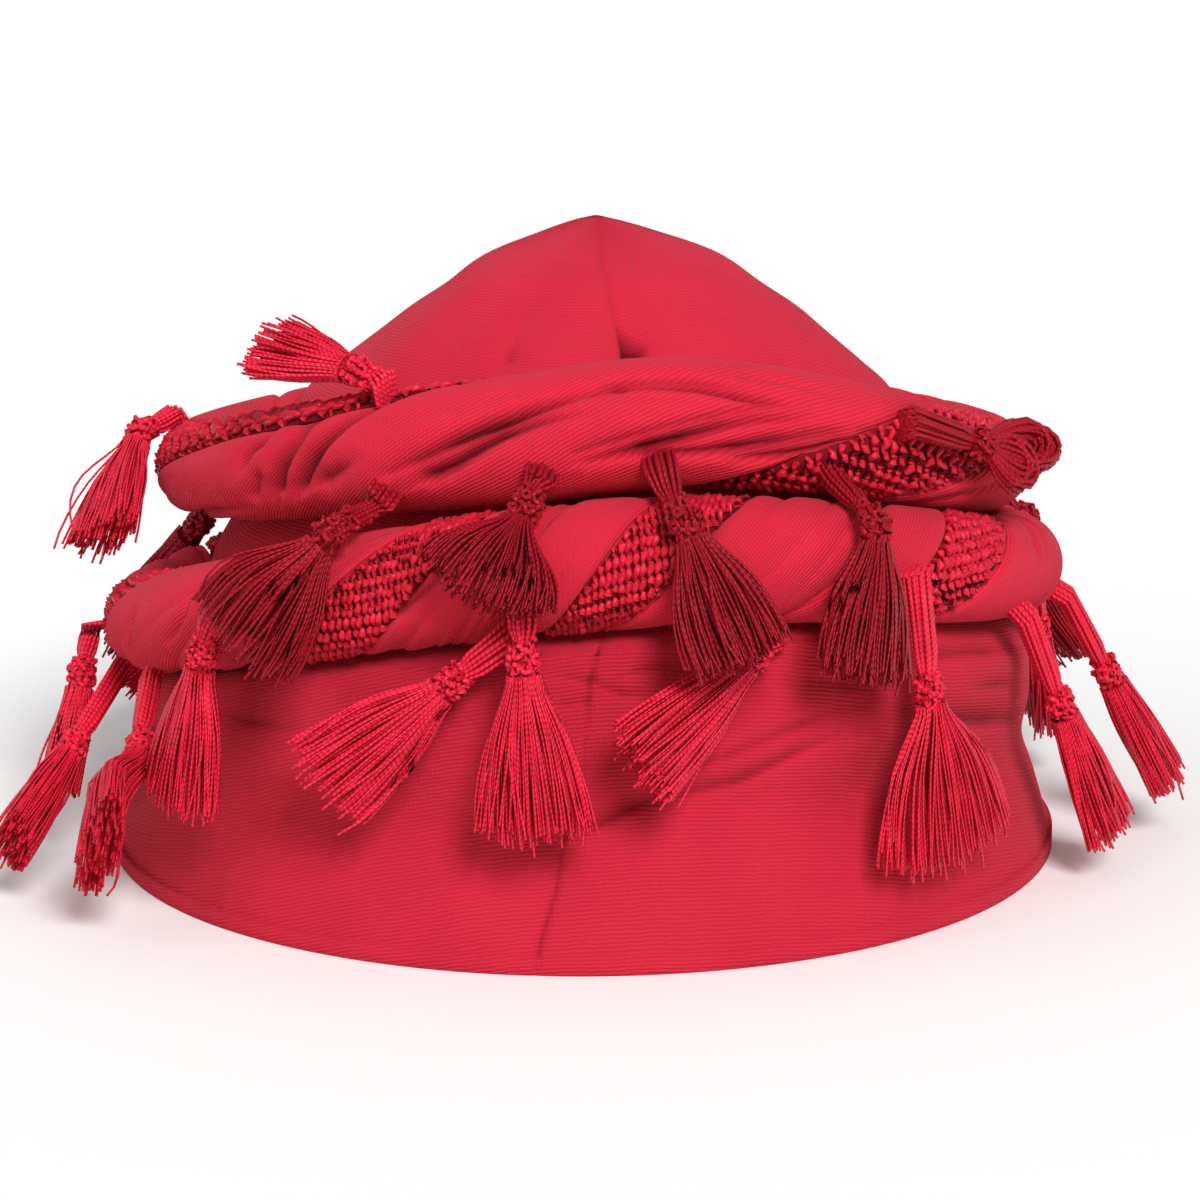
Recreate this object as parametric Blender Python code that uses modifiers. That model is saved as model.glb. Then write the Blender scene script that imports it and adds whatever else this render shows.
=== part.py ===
# A pre-tied turban durag in red jersey: a conical crown cap and a wide head band, with two
# twisted rolls of the same cloth laid round them. A knotted trim winds along each roll, and
# tassels hang from the trims. Metres, +Z up. The hat stands on its rim with the front facing -Y,
# and the origin is the middle of the head opening at the rim.

import math

import bmesh
import bpy
from mathutils import Vector

# Driving dimensions
RIM_RADIUS = 0.095
FRONT_TO_BACK = 1.03
PEAK_HEIGHT = 0.1265
TOP_SHIFT = 0.0028
SHIFT_START = 0.048
SHIFT_END = 0.078
CROWN_RADIUS = 0.0800
CROWN_WALL = 0.0020
BAND_WALL = 0.0025
HEM_HEIGHT = 0.0035
GAP = 0.0003

LOWER_RADIUS_FRONT = 0.0122
LOWER_RADIUS_BACK = 0.0098
LOWER_RADIUS_SIDE = 0.0098
LOWER_HEIGHT_FRONT = 0.0746
LOWER_HEIGHT_BACK = 0.0490
LOWER_HEIGHT_RIGHT = 0.0565
LOWER_HEIGHT_LEFT = 0.0450
LOWER_TURNS = 8

UPPER_RADIUS_FRONT = 0.0124
UPPER_RADIUS_BACK = 0.0102
UPPER_RADIUS_SIDE = 0.0098
UPPER_HEIGHT_FRONT = 0.0962
UPPER_HEIGHT_BACK = 0.0715
UPPER_HEIGHT_RIGHT = 0.0765
UPPER_HEIGHT_LEFT = 0.0755
UPPER_TURNS = 4

TRIM_THICKNESS = 0.0024
TRIM_SHARE = 0.27
TRIM_TAPER = 0.94

TASSEL_GAP = 0.0004
FLOOR_CLEARANCE = 0.0030
NECK_LENGTH = 0.0200
NECK_RADIUS = 0.0021
KNOT_LENGTH = 0.0070
KNOT_RADIUS = 0.0038
SKIRT_LENGTH = 0.0290
SKIRT_HALF_WIDTH = 0.0105
SKIRT_HALF_DEPTH = 0.0036
LOCK_DEPTH = 0.20
RAGGED_HEM = 0.10

# Mesh density
CROWN_COLUMNS = 32
BAND_COLUMNS = 44
LOWER_STEPS_A_TURN = 10
UPPER_STEPS_A_TURN = 15
TRIM_COLUMNS = 3
LOCKS = 5
LINE_STEP = 3
PUSH_STEP = 0.0003
MOST_PUSHES = 250

# Heights of the crown's rows as shares of the way from the peak to the seam, heights of the band's
# rows as shares of its wall, and the section angles of the lower roll that the band's shoulder
# follows from the seam down to that wall.
CROWN_ROWS = [0.030, 0.075, 0.150, 0.250, 0.360, 0.480, 0.620, 0.780, 1.000]
BAND_ROWS = [0.94, 0.80, 0.62, 0.44, 0.24]
SHOULDER_ROWS = [-162.0, -132.0, -104.0]

# Angles run round the hat in degrees from the front, and are positive towards the wearer's left,
# which is +X. A roll's section angles run from its outer side over its top.
CROWN_SEAM_ANGLE = 8.0
BAND_SEAM_ANGLE = -4.0
BAND_SEAM_WIDTH = 4.0
BAND_SEAM_DEPTH = 0.35
SEAM_DROP = 0.32

# The crown's outer line: depth below the peak as a share of PEAK_HEIGHT, radius as a share of
# CROWN_RADIUS.
CROWN_LINE = [
    # depth, radius
    (0.000, 0.020),
    (0.012, 0.080),
    (0.032, 0.164),
    (0.073, 0.325),
    (0.114, 0.418),
    (0.154, 0.512),
    (0.195, 0.588),
    (0.236, 0.661),
    (0.277, 0.730),
    (0.326, 0.772),
    (0.405, 0.831),
    (0.557, 0.938),
    (0.648, 0.945),
    (1.000, 0.955),
]

# The band's outer line below the lower roll: height as a share of the wall under the roll, radius
# as a share of RIM_RADIUS.
BAND_LINE = [
    # height, radius
    (0.00, 1.000),
    (0.12, 0.985),
    (0.30, 0.960),
    (0.49, 0.934),
    (0.65, 0.946),
    (0.87, 0.932),
    (1.00, 0.905),
]

# Soft folds of the band: angle and height of the middle, the fold's tilt in degrees, its length
# and width as shares of RIM_RADIUS, and its depth as a share of BAND_WALL, positive outwards.
BAND_FOLDS = [
    # angle, height, tilt, length, width, depth
    (28.0, 0.34, 20.0, 0.55, 0.10, -0.9),
    (62.0, 0.62, 4.0, 0.45, 0.12, -1.3),
    (66.0, 0.86, 6.0, 0.50, 0.13, 1.2),
    (12.0, 0.78, 30.0, 0.35, 0.10, -0.8),
    (-38.0, 0.62, -14.0, 0.50, 0.13, -0.8),
    (-82.0, 0.55, 6.0, 0.40, 0.13, -1.1),
    (150.0, 0.60, -12.0, 0.60, 0.14, -0.9),
    (-135.0, 0.50, 10.0, 0.60, 0.14, -0.8),
]

# Soft folds and dents of the crown, given the same way. Height is the depth below the peak as a
# share of PEAK_HEIGHT, length and width are shares of CROWN_RADIUS, depth of CROWN_WALL.
CROWN_FOLDS = [
    # angle, depth below peak, tilt, length, width, depth
    (9.0, 0.10, 84.0, 0.30, 0.07, -0.7),
    (18.0, 0.30, 70.0, 0.24, 0.10, -1.9),
    (4.0, 0.28, 84.0, 0.20, 0.08, 0.8),
    (-24.0, 0.30, 66.0, 0.22, 0.09, -1.1),
    (-52.0, 0.20, 50.0, 0.30, 0.12, 0.9),
    (-104.0, 0.14, 0.0, 0.50, 0.20, -1.7),
    (58.0, 0.34, -50.0, 0.25, 0.12, -1.0),
    (118.0, 0.26, 60.0, 0.30, 0.14, -1.0),
    (-140.0, 0.28, -60.0, 0.32, 0.14, -1.0),
    (176.0, 0.14, 86.0, 0.34, 0.09, -0.7),
]

# How each roll is twisted: the trim's turns round the roll, counted from where it crosses the
# outer side near the front, and the angle round the hat where it has made them.
LOWER_TWIST = [
    # turns, angle
    (-2.00, -88.0),
    (-1.00, -26.0),
    (0.00, 4.0),
    (1.00, 48.0),
    (2.00, 96.0),
]
UPPER_TWIST = [
    # turns, angle
    (0.00, -100.0),
    (0.14, -84.0),
    (0.24, -60.0),
    (0.31, -36.0),
    (1.00, 49.0),
    (1.38, 90.0),
]

# Folds of the rolled cloth between the trim's edges: place across the cloth as a share of the
# turn, depth as a share of the roll's radius.
LOWER_FOLDS = [
    # place, depth
    (0.07, 0.00),
    (0.18, 0.10),
    (0.29, 0.01),
    (0.42, 0.13),
    (0.54, 0.00),
    (0.66, 0.11),
    (0.78, 0.02),
    (0.90, 0.10),
]
UPPER_FOLDS = [
    # place, depth
    (0.05, 0.01),
    (0.14, 0.14),
    (0.24, 0.00),
    (0.35, 0.12),
    (0.44, 0.02),
    (0.54, 0.16),
    (0.65, 0.00),
    (0.75, 0.10),
    (0.85, 0.02),
    (0.94, 0.13),
]

# Tassels: the roll that each hangs from, its place round the hat and on the roll's section, the
# way it heads across the surface (0 down, 90 right, -90 left), how far it stands off the surface,
# and its neck, skirt and half width as shares of their named sizes.
TASSELS = [
    # roll, angle, section, heading, lift, neck, skirt, width
    ("upper", -31.0, 74.0, -98.0, 0.0, 0.10, 0.60, 0.90),
    ("upper", -92.0, 60.0, 30.0, 20.0, 0.35, 0.76, 1.10),
    ("lower", -43.0, 30.0, -12.0, 2.0, 0.60, 0.90, 1.00),
    ("upper", -28.0, -30.0, -36.0, 4.0, 0.10, 0.78, 1.20),
    ("upper", -7.0, -20.0, -24.0, 34.0, 0.10, 0.50, 1.30),
    ("upper", 8.0, -22.0, 20.0, 22.0, 0.25, 0.76, 0.90),
    ("upper", 33.0, -34.0, -16.0, 14.0, 0.10, 0.80, 0.95),
    ("upper", 44.0, 24.0, 68.0, 6.0, 0.75, 0.45, 0.60),
    ("lower", -80.0, -54.0, 30.0, 18.0, 0.90, 0.80, 0.75),
    ("lower", -65.0, -62.0, 34.0, 16.0, 0.70, 0.80, 1.35),
    ("lower", -84.0, -6.0, 20.0, 12.0, 0.30, 0.66, 0.85),
    ("lower", -9.0, -36.0, -50.0, 4.0, 0.55, 0.90, 0.95),
    ("lower", -8.0, 8.0, 4.0, 4.0, 0.55, 0.95, 1.00),
    ("lower", 22.0, -60.0, -58.0, 14.0, 0.15, 0.92, 0.90),
    ("lower", 38.0, 2.0, 8.0, 2.0, 0.95, 1.00, 1.60),
    ("lower", 64.0, -44.0, 20.0, 14.0, 0.80, 0.85, 0.75),
    ("lower", 82.0, -30.0, 20.0, 25.0, 0.80, 0.80, 0.75),
    ("lower", 104.0, -36.0, 30.0, 14.0, 0.50, 0.75, 0.85),
    ("lower", 132.0, -30.0, -36.0, 10.0, 0.35, 0.75, 1.05),
    ("lower", 161.0, -30.0, 38.0, 8.0, 0.40, 0.75, 1.00),
    ("lower", -165.0, -30.0, -40.0, 10.0, 0.35, 0.75, 1.10),
    ("lower", -132.0, -30.0, 30.0, 8.0, 0.35, 0.70, 0.95),
    ("upper", 112.0, -40.0, 14.0, 10.0, 0.30, 0.85, 1.00),
    ("upper", 148.0, -40.0, 22.0, 10.0, 0.35, 0.85, 1.00),
    ("upper", 178.0, -40.0, -20.0, 10.0, 0.30, 0.85, 1.00),
    ("upper", -146.0, -40.0, 18.0, 10.0, 0.35, 0.85, 1.00),
    ("upper", -116.0, -40.0, -16.0, 10.0, 0.35, 0.85, 1.00),
]

# A tassel's outline: the part of it, the place along that part, and the half width and half depth
# there as shares of the part's own.
TASSEL_LINE = [
    # part, place, half width, half depth
    ("neck", 0.00, 1.00, 1.00),
    ("neck", 1.00, 1.00, 1.00),
    ("knot", 0.45, 1.00, 0.85),
    ("knot", 1.00, 0.80, 0.70),
    ("skirt", 0.42, 0.64, 0.90),
    ("skirt", 1.00, 1.00, 1.00),
]

# Colours in linear light, with their roughness
JERSEY_BRIGHT = (0.64, 0.030, 0.060, 1.0)
JERSEY = (0.55, 0.024, 0.046, 1.0)
JERSEY_DEEP = (0.42, 0.015, 0.026, 1.0)
TRIM_RED = (0.47, 0.012, 0.028, 1.0)
THREAD_RED = (0.50, 0.010, 0.028, 1.0)
CLOTH_ROUGHNESS = 0.85
THREAD_ROUGHNESS = 0.45


def clear_scene():
    for obj in list(bpy.data.objects):
        bpy.data.objects.remove(obj, do_unlink=True)


def material(name, colour, roughness):
    made = bpy.data.materials.new(name)
    made.use_nodes = True
    shader = made.node_tree.nodes["Principled BSDF"]
    shader.inputs["Base Color"].default_value = colour
    shader.inputs["Roughness"].default_value = roughness
    shader.inputs["Metallic"].default_value = 0.0
    return made


def smooth_line(table, at):
    """The value at a place in a table of (place, value), on a monotone cubic curve."""
    count = len(table)
    if at <= table[0][0]:
        return table[0][1]
    if at >= table[-1][0]:
        return table[-1][1]
    slopes = []
    for i in range(count - 1):
        run = table[i + 1][0] - table[i][0]
        slopes.append((table[i + 1][1] - table[i][1]) / run)
    tangents = [slopes[0]]
    for left, right in zip(slopes, slopes[1:]):
        same = left * right > 0
        tangents.append(2 * left * right / (left + right) if same else 0.0)
    tangents.append(slopes[-1])
    i = max(k for k in range(count - 1) if table[k][0] <= at)
    run = table[i + 1][0] - table[i][0]
    t = (at - table[i][0]) / run
    start = table[i][1] * (1 + 2 * t) * (1 - t) ** 2
    end = table[i + 1][1] * t * t * (3 - 2 * t)
    bend = tangents[i] * t * (1 - t) ** 2 - tangents[i + 1] * t * t * (1 - t)
    return start + end + run * bend


def round_hat(angle, front, back, left, right):
    """A size that passes smoothly through its values at the front, back and sides."""
    turn = math.radians(angle)
    middle = (front + back + left + right) / 4
    forward = (front - back) / 2
    sideways = (right - left) / 2
    oval = (front + back - left - right) / 4
    return middle + forward * math.cos(turn) + sideways * math.sin(turn) + oval * math.cos(2 * turn)


def shift_at(height):
    """How far the hat's middle lies towards +X at a height: the top slumps a little that way."""
    rise = min(1.0, max(0.0, (height - SHIFT_START) / (SHIFT_END - SHIFT_START)))
    return TOP_SHIFT * rise * rise * (3 - 2 * rise)


def place(angle, radius, height):
    """The point at a radius and height, in the direction that the angle gives."""
    turn = math.radians(angle)
    return Vector((
        shift_at(height) + radius * math.sin(turn),
        -radius * FRONT_TO_BACK * math.cos(turn),
        height,
    ))


def outward(angle):
    turn = math.radians(angle)
    return Vector((math.sin(turn) * FRONT_TO_BACK, -math.cos(turn), 0)).normalized()


def angle_of(point):
    aside = point.x - shift_at(point.z)
    return math.degrees(math.atan2(aside * FRONT_TO_BACK, -point.y))


def radius_of(point):
    return math.hypot(point.x - shift_at(point.z), point.y / FRONT_TO_BACK)


def fold_relief(folds, angle, height, around, upright):
    """How far the folds raise or sink a point, in wall thicknesses."""
    total = 0.0
    for fold_angle, fold_height, tilt, length, width, depth in folds:
        apart = (angle - fold_angle + 180) % 360 - 180
        across = math.radians(apart) * around
        up = (height - fold_height) * upright
        lean = math.radians(tilt)
        along = (across * math.cos(lean) + up * math.sin(lean)) / length
        aside = (up * math.cos(lean) - across * math.sin(lean)) / width
        total += depth * math.exp(-2 * along**2 - aside**2)
    return total


# Crown

def crown_radius(height):
    below = (PEAK_HEIGHT - height) / PEAK_HEIGHT
    return CROWN_RADIUS * smooth_line(CROWN_LINE, below)


def crown_point(angle, height):
    below = (PEAK_HEIGHT - height) / PEAK_HEIGHT
    around = crown_radius(height) / CROWN_RADIUS
    upright = PEAK_HEIGHT / CROWN_RADIUS
    relief = fold_relief(CROWN_FOLDS, angle, below, around, upright)
    steady = min(1.0, max(0.0, height - seam_height(angle)) / LOWER_RADIUS_FRONT)
    return place(angle, crown_radius(height) + CROWN_WALL * relief * steady, height)


# Rolls

def lower_radius(angle):
    side = LOWER_RADIUS_SIDE
    return round_hat(angle, LOWER_RADIUS_FRONT, LOWER_RADIUS_BACK, side, side)


def lower_height(angle):
    return round_hat(
        angle, LOWER_HEIGHT_FRONT, LOWER_HEIGHT_BACK, LOWER_HEIGHT_LEFT, LOWER_HEIGHT_RIGHT
    )


def upper_radius(angle):
    side = UPPER_RADIUS_SIDE
    return round_hat(angle, UPPER_RADIUS_FRONT, UPPER_RADIUS_BACK, side, side)


def upper_height(angle):
    return round_hat(
        angle, UPPER_HEIGHT_FRONT, UPPER_HEIGHT_BACK, UPPER_HEIGHT_LEFT, UPPER_HEIGHT_RIGHT
    )


def seat_on_crown(angle, height, reach):
    """The radius at which a round section of this reach just meets the crown."""
    steps = 12
    sideways = math.sin(math.radians(angle))
    found = 0.0
    for i in range(-steps, steps + 1):
        tilt = math.pi / 2 * i / steps
        level = height + reach * math.sin(tilt)
        slump = (shift_at(level) - shift_at(height)) * sideways
        found = max(found, crown_radius(level) + slump + reach * math.cos(tilt))
    return found


def lower_centre(angle):
    height = lower_height(angle)
    return seat_on_crown(angle, height, lower_radius(angle) + 2 * GAP), height


def upper_centre(angle):
    """The upper roll lies on the crown, and on the lower roll where they meet."""
    low_radius, low_height = lower_centre(angle)
    reach = upper_radius(angle) + 2 * GAP
    apart = lower_radius(angle) + upper_radius(angle) + 3 * GAP
    sideways = math.sin(math.radians(angle))
    height = upper_height(angle)
    for _ in range(8):
        slump = (shift_at(low_height) - shift_at(height)) * sideways
        aside = low_radius + slump - seat_on_crown(angle, height, reach)
        lift = math.sqrt(max(0.0, apart**2 - aside**2))
        height = max(height, low_height + lift)
    return seat_on_crown(angle, height, reach), height


ROLLS = {
    "lower": (lower_centre, lower_radius),
    "upper": (upper_centre, upper_radius),
}
CLOTHS = {
    "lower": (LOWER_FOLDS, LOWER_TWIST, LOWER_TURNS),
    "upper": (UPPER_FOLDS, UPPER_TWIST, UPPER_TURNS),
}


def roll_point(roll, angle, section, reach):
    """A point at a section angle in degrees and a distance from the roll's middle line."""
    centre, _ = ROLLS[roll]
    radius, height = centre(angle)
    tilt = math.radians(section)
    middle = place(angle, radius, height)
    return middle + outward(angle) * (reach * math.cos(tilt)) + Vector((0, 0, reach * math.sin(tilt)))


def twisted_rings(table, turns, steps):
    """The sections of a roll as (angle round the hat, turn of the cloth), evenly twisted."""
    first_turn, first_angle = table[0]
    last_turn, last_angle = table[-1]
    closing = 3
    rows = list(table)
    for i in range(1, closing + 1):
        share = i / closing
        rows.append((
            last_turn + share * (turns + first_turn - last_turn),
            last_angle + share * (360 + first_angle - last_angle),
        ))
    rings = []
    for i in range(turns * steps):
        turn = first_turn + i / steps
        rings.append((smooth_line(rows, turn), turn))
    return rings


def cloth_turn(roll, angle):
    """How far the cloth has turned where the roll is at this angle round the hat."""
    _, table, turns = CLOTHS[roll]
    rings = twisted_rings(table, turns, UPPER_STEPS_A_TURN)
    start = rings[0][0]
    at = start + (angle - start) % 360
    for (before, turn), (after, next_turn) in zip(rings, rings[1:]):
        if before <= at <= after:
            return turn + (next_turn - turn) * (at - before) / (after - before)
    return rings[-1][1]


def cloth_reach(roll, angle, section):
    """Distance from the roll's middle line to its cloth, or to the trim, at a section angle."""
    folds, _, _ = CLOTHS[roll]
    full = ROLLS[roll][1](angle)
    share = (section / 360 - cloth_turn(roll, angle)) % 1
    at = (share - TRIM_SHARE / 2) / (1 - TRIM_SHARE)
    edge = TRIM_THICKNESS / full
    rows = [(0.0, edge)] + folds + [(1.0, edge)]
    for (before, depth), (after, next_depth) in zip(rows, rows[1:]):
        if before <= at <= after:
            return full * (1 - depth - (next_depth - depth) * (at - before) / (after - before))
    return full


def height_above(roll, angle, point):
    """How far a point close to that place round the hat stands above the cloth."""
    centre, _ = ROLLS[roll]
    radius, height = centre(angle)
    out = outward(angle)
    apart = point - place(angle, radius, height)
    near = angle + math.degrees((apart.y * out.x - apart.x * out.y) / radius)
    section = math.degrees(math.atan2(apart.z, apart.dot(out)))
    reach = math.hypot(apart.z, apart.dot(out))
    spread = (-5, 0, 5)
    return reach - max(cloth_reach(roll, near, section + aside) for aside in spread)


def loft(name, sections, colour, roughness, ring):
    """One closed solid through sections, end to end or as a ring, split on shorter diagonals."""
    mesh = bmesh.new()
    rows = [[mesh.verts.new(point) for point in section] for section in sections]
    count = len(rows[0])
    pairs = list(zip(rows, rows[1:]))
    if ring:
        pairs.append((rows[-1], rows[0]))
    for first, second in pairs:
        for i in range(count):
            j = (i + 1) % count
            if (first[j].co - second[i].co).length < (first[i].co - second[j].co).length:
                mesh.faces.new((first[i], second[i], first[j]))
                mesh.faces.new((first[j], second[i], second[j]))
            else:
                mesh.faces.new((first[i], second[i], second[j]))
                mesh.faces.new((first[i], second[j], first[j]))
    if not ring:
        mesh.faces.new(rows[0])
        mesh.faces.new(list(reversed(rows[-1])))
    bmesh.ops.recalc_face_normals(mesh, faces=mesh.faces[:])
    return add_object(name, mesh, colour, roughness)


def add_object(name, mesh, colour, roughness):
    data = bpy.data.meshes.new(name)
    mesh.to_mesh(data)
    mesh.free()
    data.shade_smooth()
    data.set_sharp_from_angle(angle=math.radians(50))
    data.materials.append(material(name, colour, roughness))
    made = bpy.data.objects.new(name, data)
    HAT.objects.link(made)
    return made


def channel_shares():
    """Places across the trim's channel, as shares of a turn from its middle."""
    return [TRIM_SHARE * (i / TRIM_COLUMNS - 0.5) for i in range(TRIM_COLUMNS + 1)]


def roll_section(folds):
    """Points across the cloth as (share of a turn, depth share), with the trim's channel first."""
    channel = [(share, None) for share in channel_shares()]
    start = TRIM_SHARE / 2
    span = 1 - TRIM_SHARE
    cloth = [(start + span * at, depth) for at, depth in folds]
    return channel + cloth


def make_roll(name, roll, folds, table, turns, steps, colour):
    """The cloth of a roll: its folds wind round with the twist, and a channel holds the trim."""
    _, radius = ROLLS[roll]
    sections = []
    for angle, turn in twisted_rings(table, turns, steps):
        turned = 360 * turn
        section = []
        for share, depth in roll_section(folds):
            full = radius(angle)
            reach = full - TRIM_THICKNESS - GAP if depth is None else full * (1 - depth)
            section.append(roll_point(roll, angle, turned + 360 * share, reach))
        sections.append(section)
    return loft(name, sections, colour, CLOTH_ROUGHNESS, ring=True)


def make_trim(name, roll, table, turns, steps):
    """The flat knotted braid that lies in the roll's channel, flush with the folds."""
    _, radius = ROLLS[roll]
    sections = []
    for angle, turn in twisted_rings(table, turns, steps):
        turned = 360 * turn
        full = radius(angle)
        outer = []
        inner = []
        for share in channel_shares():
            section = turned + 360 * share
            outer.append(roll_point(roll, angle, turned + 360 * share * TRIM_TAPER, full))
            inner.append(roll_point(roll, angle, section, full - TRIM_THICKNESS))
        sections.append(outer + inner[::-1])
    return loft(name, sections, TRIM_RED, THREAD_ROUGHNESS, ring=True)


# Crown cap and head band

def seam_height(angle):
    """The seam between crown and band, hidden behind the lower roll."""
    return lower_height(angle) - SEAM_DROP * lower_radius(angle)


def shell(name, rows, wall, colour, peak):
    """A cloth wall of even thickness inside an open surface of closed rows, top row first."""
    mesh = bmesh.new()
    rings = [[mesh.verts.new(point) for point in row] for row in rows]
    count = len(rings[0])
    for first, second in zip(rings, rings[1:]):
        for i in range(count):
            j = (i + 1) % count
            mesh.faces.new((first[i], second[i], second[j], first[j]))
    if peak is not None:
        top = mesh.verts.new(peak)
        for i in range(count):
            mesh.faces.new((top, rings[0][i], rings[0][(i + 1) % count]))
    made = add_object(name, mesh, colour, CLOTH_ROUGHNESS)
    walls = made.modifiers.new("cloth", "SOLIDIFY")
    walls.thickness = wall
    walls.offset = -1
    return made


def make_crown():
    rows = []
    angles = [CROWN_SEAM_ANGLE + 360 * i / CROWN_COLUMNS for i in range(CROWN_COLUMNS)]
    for share in CROWN_ROWS:
        row = []
        for angle in angles:
            foot = seam_height(angle) + GAP
            row.append(crown_point(angle, PEAK_HEIGHT - share * (PEAK_HEIGHT - foot)))
        rows.append(row)
    peak = place(0, 0, PEAK_HEIGHT)
    return shell("crown_cap", rows, CROWN_WALL, JERSEY_BRIGHT, peak)


def band_top(angle):
    """The height of the band's wall just under the lower roll."""
    return lower_height(angle) - lower_radius(angle) - 3 * GAP


def band_radius(angle, height):
    share = height / band_top(angle)
    relief = fold_relief(BAND_FOLDS, angle, share, 1.0, band_top(angle) / RIM_RADIUS)
    steady = min(1.0, max(0.0, height - HEM_HEIGHT) / (3 * HEM_HEIGHT))
    steady *= min(1.0, max(0.0, 1 - share) / 0.1)
    seam = math.exp(-(((angle - BAND_SEAM_ANGLE) / BAND_SEAM_WIDTH) ** 2))
    relief = (relief - BAND_SEAM_DEPTH * seam) * steady
    return RIM_RADIUS * smooth_line(BAND_LINE, share) + BAND_WALL * relief


def make_band():
    """The band's wall, and its shoulder drawn in under the lower roll to the crown's seam."""
    angles = [BAND_SEAM_ANGLE + 360 * i / BAND_COLUMNS for i in range(BAND_COLUMNS)]
    rows = []
    for section in SHOULDER_ROWS:
        row = []
        for angle in angles:
            reach = lower_radius(angle) + 2 * GAP
            point = roll_point("lower", angle, section, reach)
            if section == SHOULDER_ROWS[0]:
                point.z = min(point.z, seam_height(angle) - GAP)
                point = place(angle, crown_radius(point.z), point.z)
            row.append(point)
        rows.append(row)
    for share in BAND_ROWS:
        row = []
        for angle in angles:
            height = share * band_top(angle)
            row.append(place(angle, band_radius(angle, height), height))
        rows.append(row)
    for height in (HEM_HEIGHT, 0.0):
        rows.append([place(angle, RIM_RADIUS, height) for angle in angles])
    return shell("head_band", rows, BAND_WALL, JERSEY, None)


# Tassels

def middle_lines():
    """Each roll's middle line as points a few degrees apart, with the roll's radius there."""
    lines = {}
    for roll, (centre, radius) in ROLLS.items():
        angles = range(-180, 180, LINE_STEP)
        lines[roll] = [(place(at, *centre(at)), radius(at)) for at in angles]
    return lines


def clear_of_hat(point, half):
    """Whether a ball of this half size clears the rolls, the band and the crown."""
    at = angle_of(point)
    near = round((at + 180) / LINE_STEP)
    for line in MIDDLE_LINES.values():
        for i in range(near - 4, near + 5):
            middle, radius = line[i % len(line)]
            if (point - middle).length < radius + half + TASSEL_GAP:
                return False
    wall_top = band_top(at)
    if point.z < wall_top + half:
        wall = band_radius(at, max(0.0, min(point.z, wall_top)))
        if radius_of(point) < wall + half + TASSEL_GAP:
            return False
    if point.z > seam_height(at):
        return radius_of(point) >= crown_radius(min(point.z, PEAK_HEIGHT)) + half + CROWN_WALL
    return True


def push_clear(probes, push, others):
    """How far to move along push until every probe clears everything: (point, half size, share
    of the move that it takes)."""
    for i in range(MOST_PUSHES):
        moved = [(point + push * (i * PUSH_STEP * share), half) for point, half, share in probes]
        if all(
            clear_of_hat(point, half)
            and all((point - spot).length >= other + half + TASSEL_GAP for spot, other in others)
            for point, half in moved
        ):
            break
    return push * (i * PUSH_STEP)


def tassel_ways(angle, section, heading, lift, root_height, length, half):
    """The way that pushes a tassel off the hat, and the way that it lies along. One that would
    reach the floor leans over more."""
    out = outward(angle)
    up = Vector((0, 0, 1))
    right = Vector((-out.y, out.x, 0))
    hang = math.radians(max(0.0, min(section, 90.0)))
    push = out * math.cos(hang) + up * math.sin(hang)
    lean = math.radians(heading)
    rise = math.radians(lift)
    along = (right * math.sin(lean) - up * math.cos(lean)) * math.cos(rise) + push * math.sin(rise)
    level = Vector((along.x, along.y, 0))
    level = level.normalized() if level.length > 0.05 else right
    down = -along.normalized().z
    room = root_height - FLOOR_CLEARANCE - SKIRT_HALF_DEPTH
    while down > 0 and length * down + half * math.sqrt(1 - down**2) > room:
        down = max(0.0, down - 0.01)
        along = level * math.sqrt(1 - down**2) - up * down
    return push, along.normalized()


def tassel_stations(neck, skirt, width):
    """The part of the tassel, distance from the root, half width and half depth at each section."""
    knot_start = NECK_LENGTH * neck
    knot_end = knot_start + KNOT_LENGTH
    parts = {
        "neck": (0.0, knot_start, NECK_RADIUS, NECK_RADIUS),
        "knot": (knot_start, KNOT_LENGTH, KNOT_RADIUS, KNOT_RADIUS),
        "skirt": (knot_end, SKIRT_LENGTH * skirt, SKIRT_HALF_WIDTH * width, SKIRT_HALF_DEPTH),
    }
    stations = []
    for part, at, wide, deep in TASSEL_LINE:
        start, length, half_width, half_depth = parts[part]
        stations.append((part, start + at * length, wide * half_width, deep * half_depth))
    return stations


def lanes_across(across, wide, deep):
    """Moves from a section's middle to the balls that fill it, side by side."""
    return [across * (lane * max(0.0, wide - deep)) for lane in (-1, 0, 1)]


def seat_root(roll, angle, section, root, following):
    """Draws the end of a neck in to the cloth, which lies deeper between its folds."""
    tilt = math.radians(section)
    inward = -(outward(angle) * math.cos(tilt) + Vector((0, 0, math.sin(tilt))))
    nearest = max(point.dot(inward) for point in root)
    seated = []
    for point, after in zip(root, following):
        drop = height_above(roll, angle, point) - GAP
        if point.dot(inward) < nearest - 0.35 * NECK_RADIUS:
            drop = 0.0
        while drop > 0 and any(
            height_above(roll, angle, (point + inward * drop).lerp(after, share)) < GAP / 2
            for share in (0.25, 0.50, 0.75)
        ):
            drop -= PUSH_STEP
        seated.append(point + inward * max(0.0, drop))
    return seated


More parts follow.
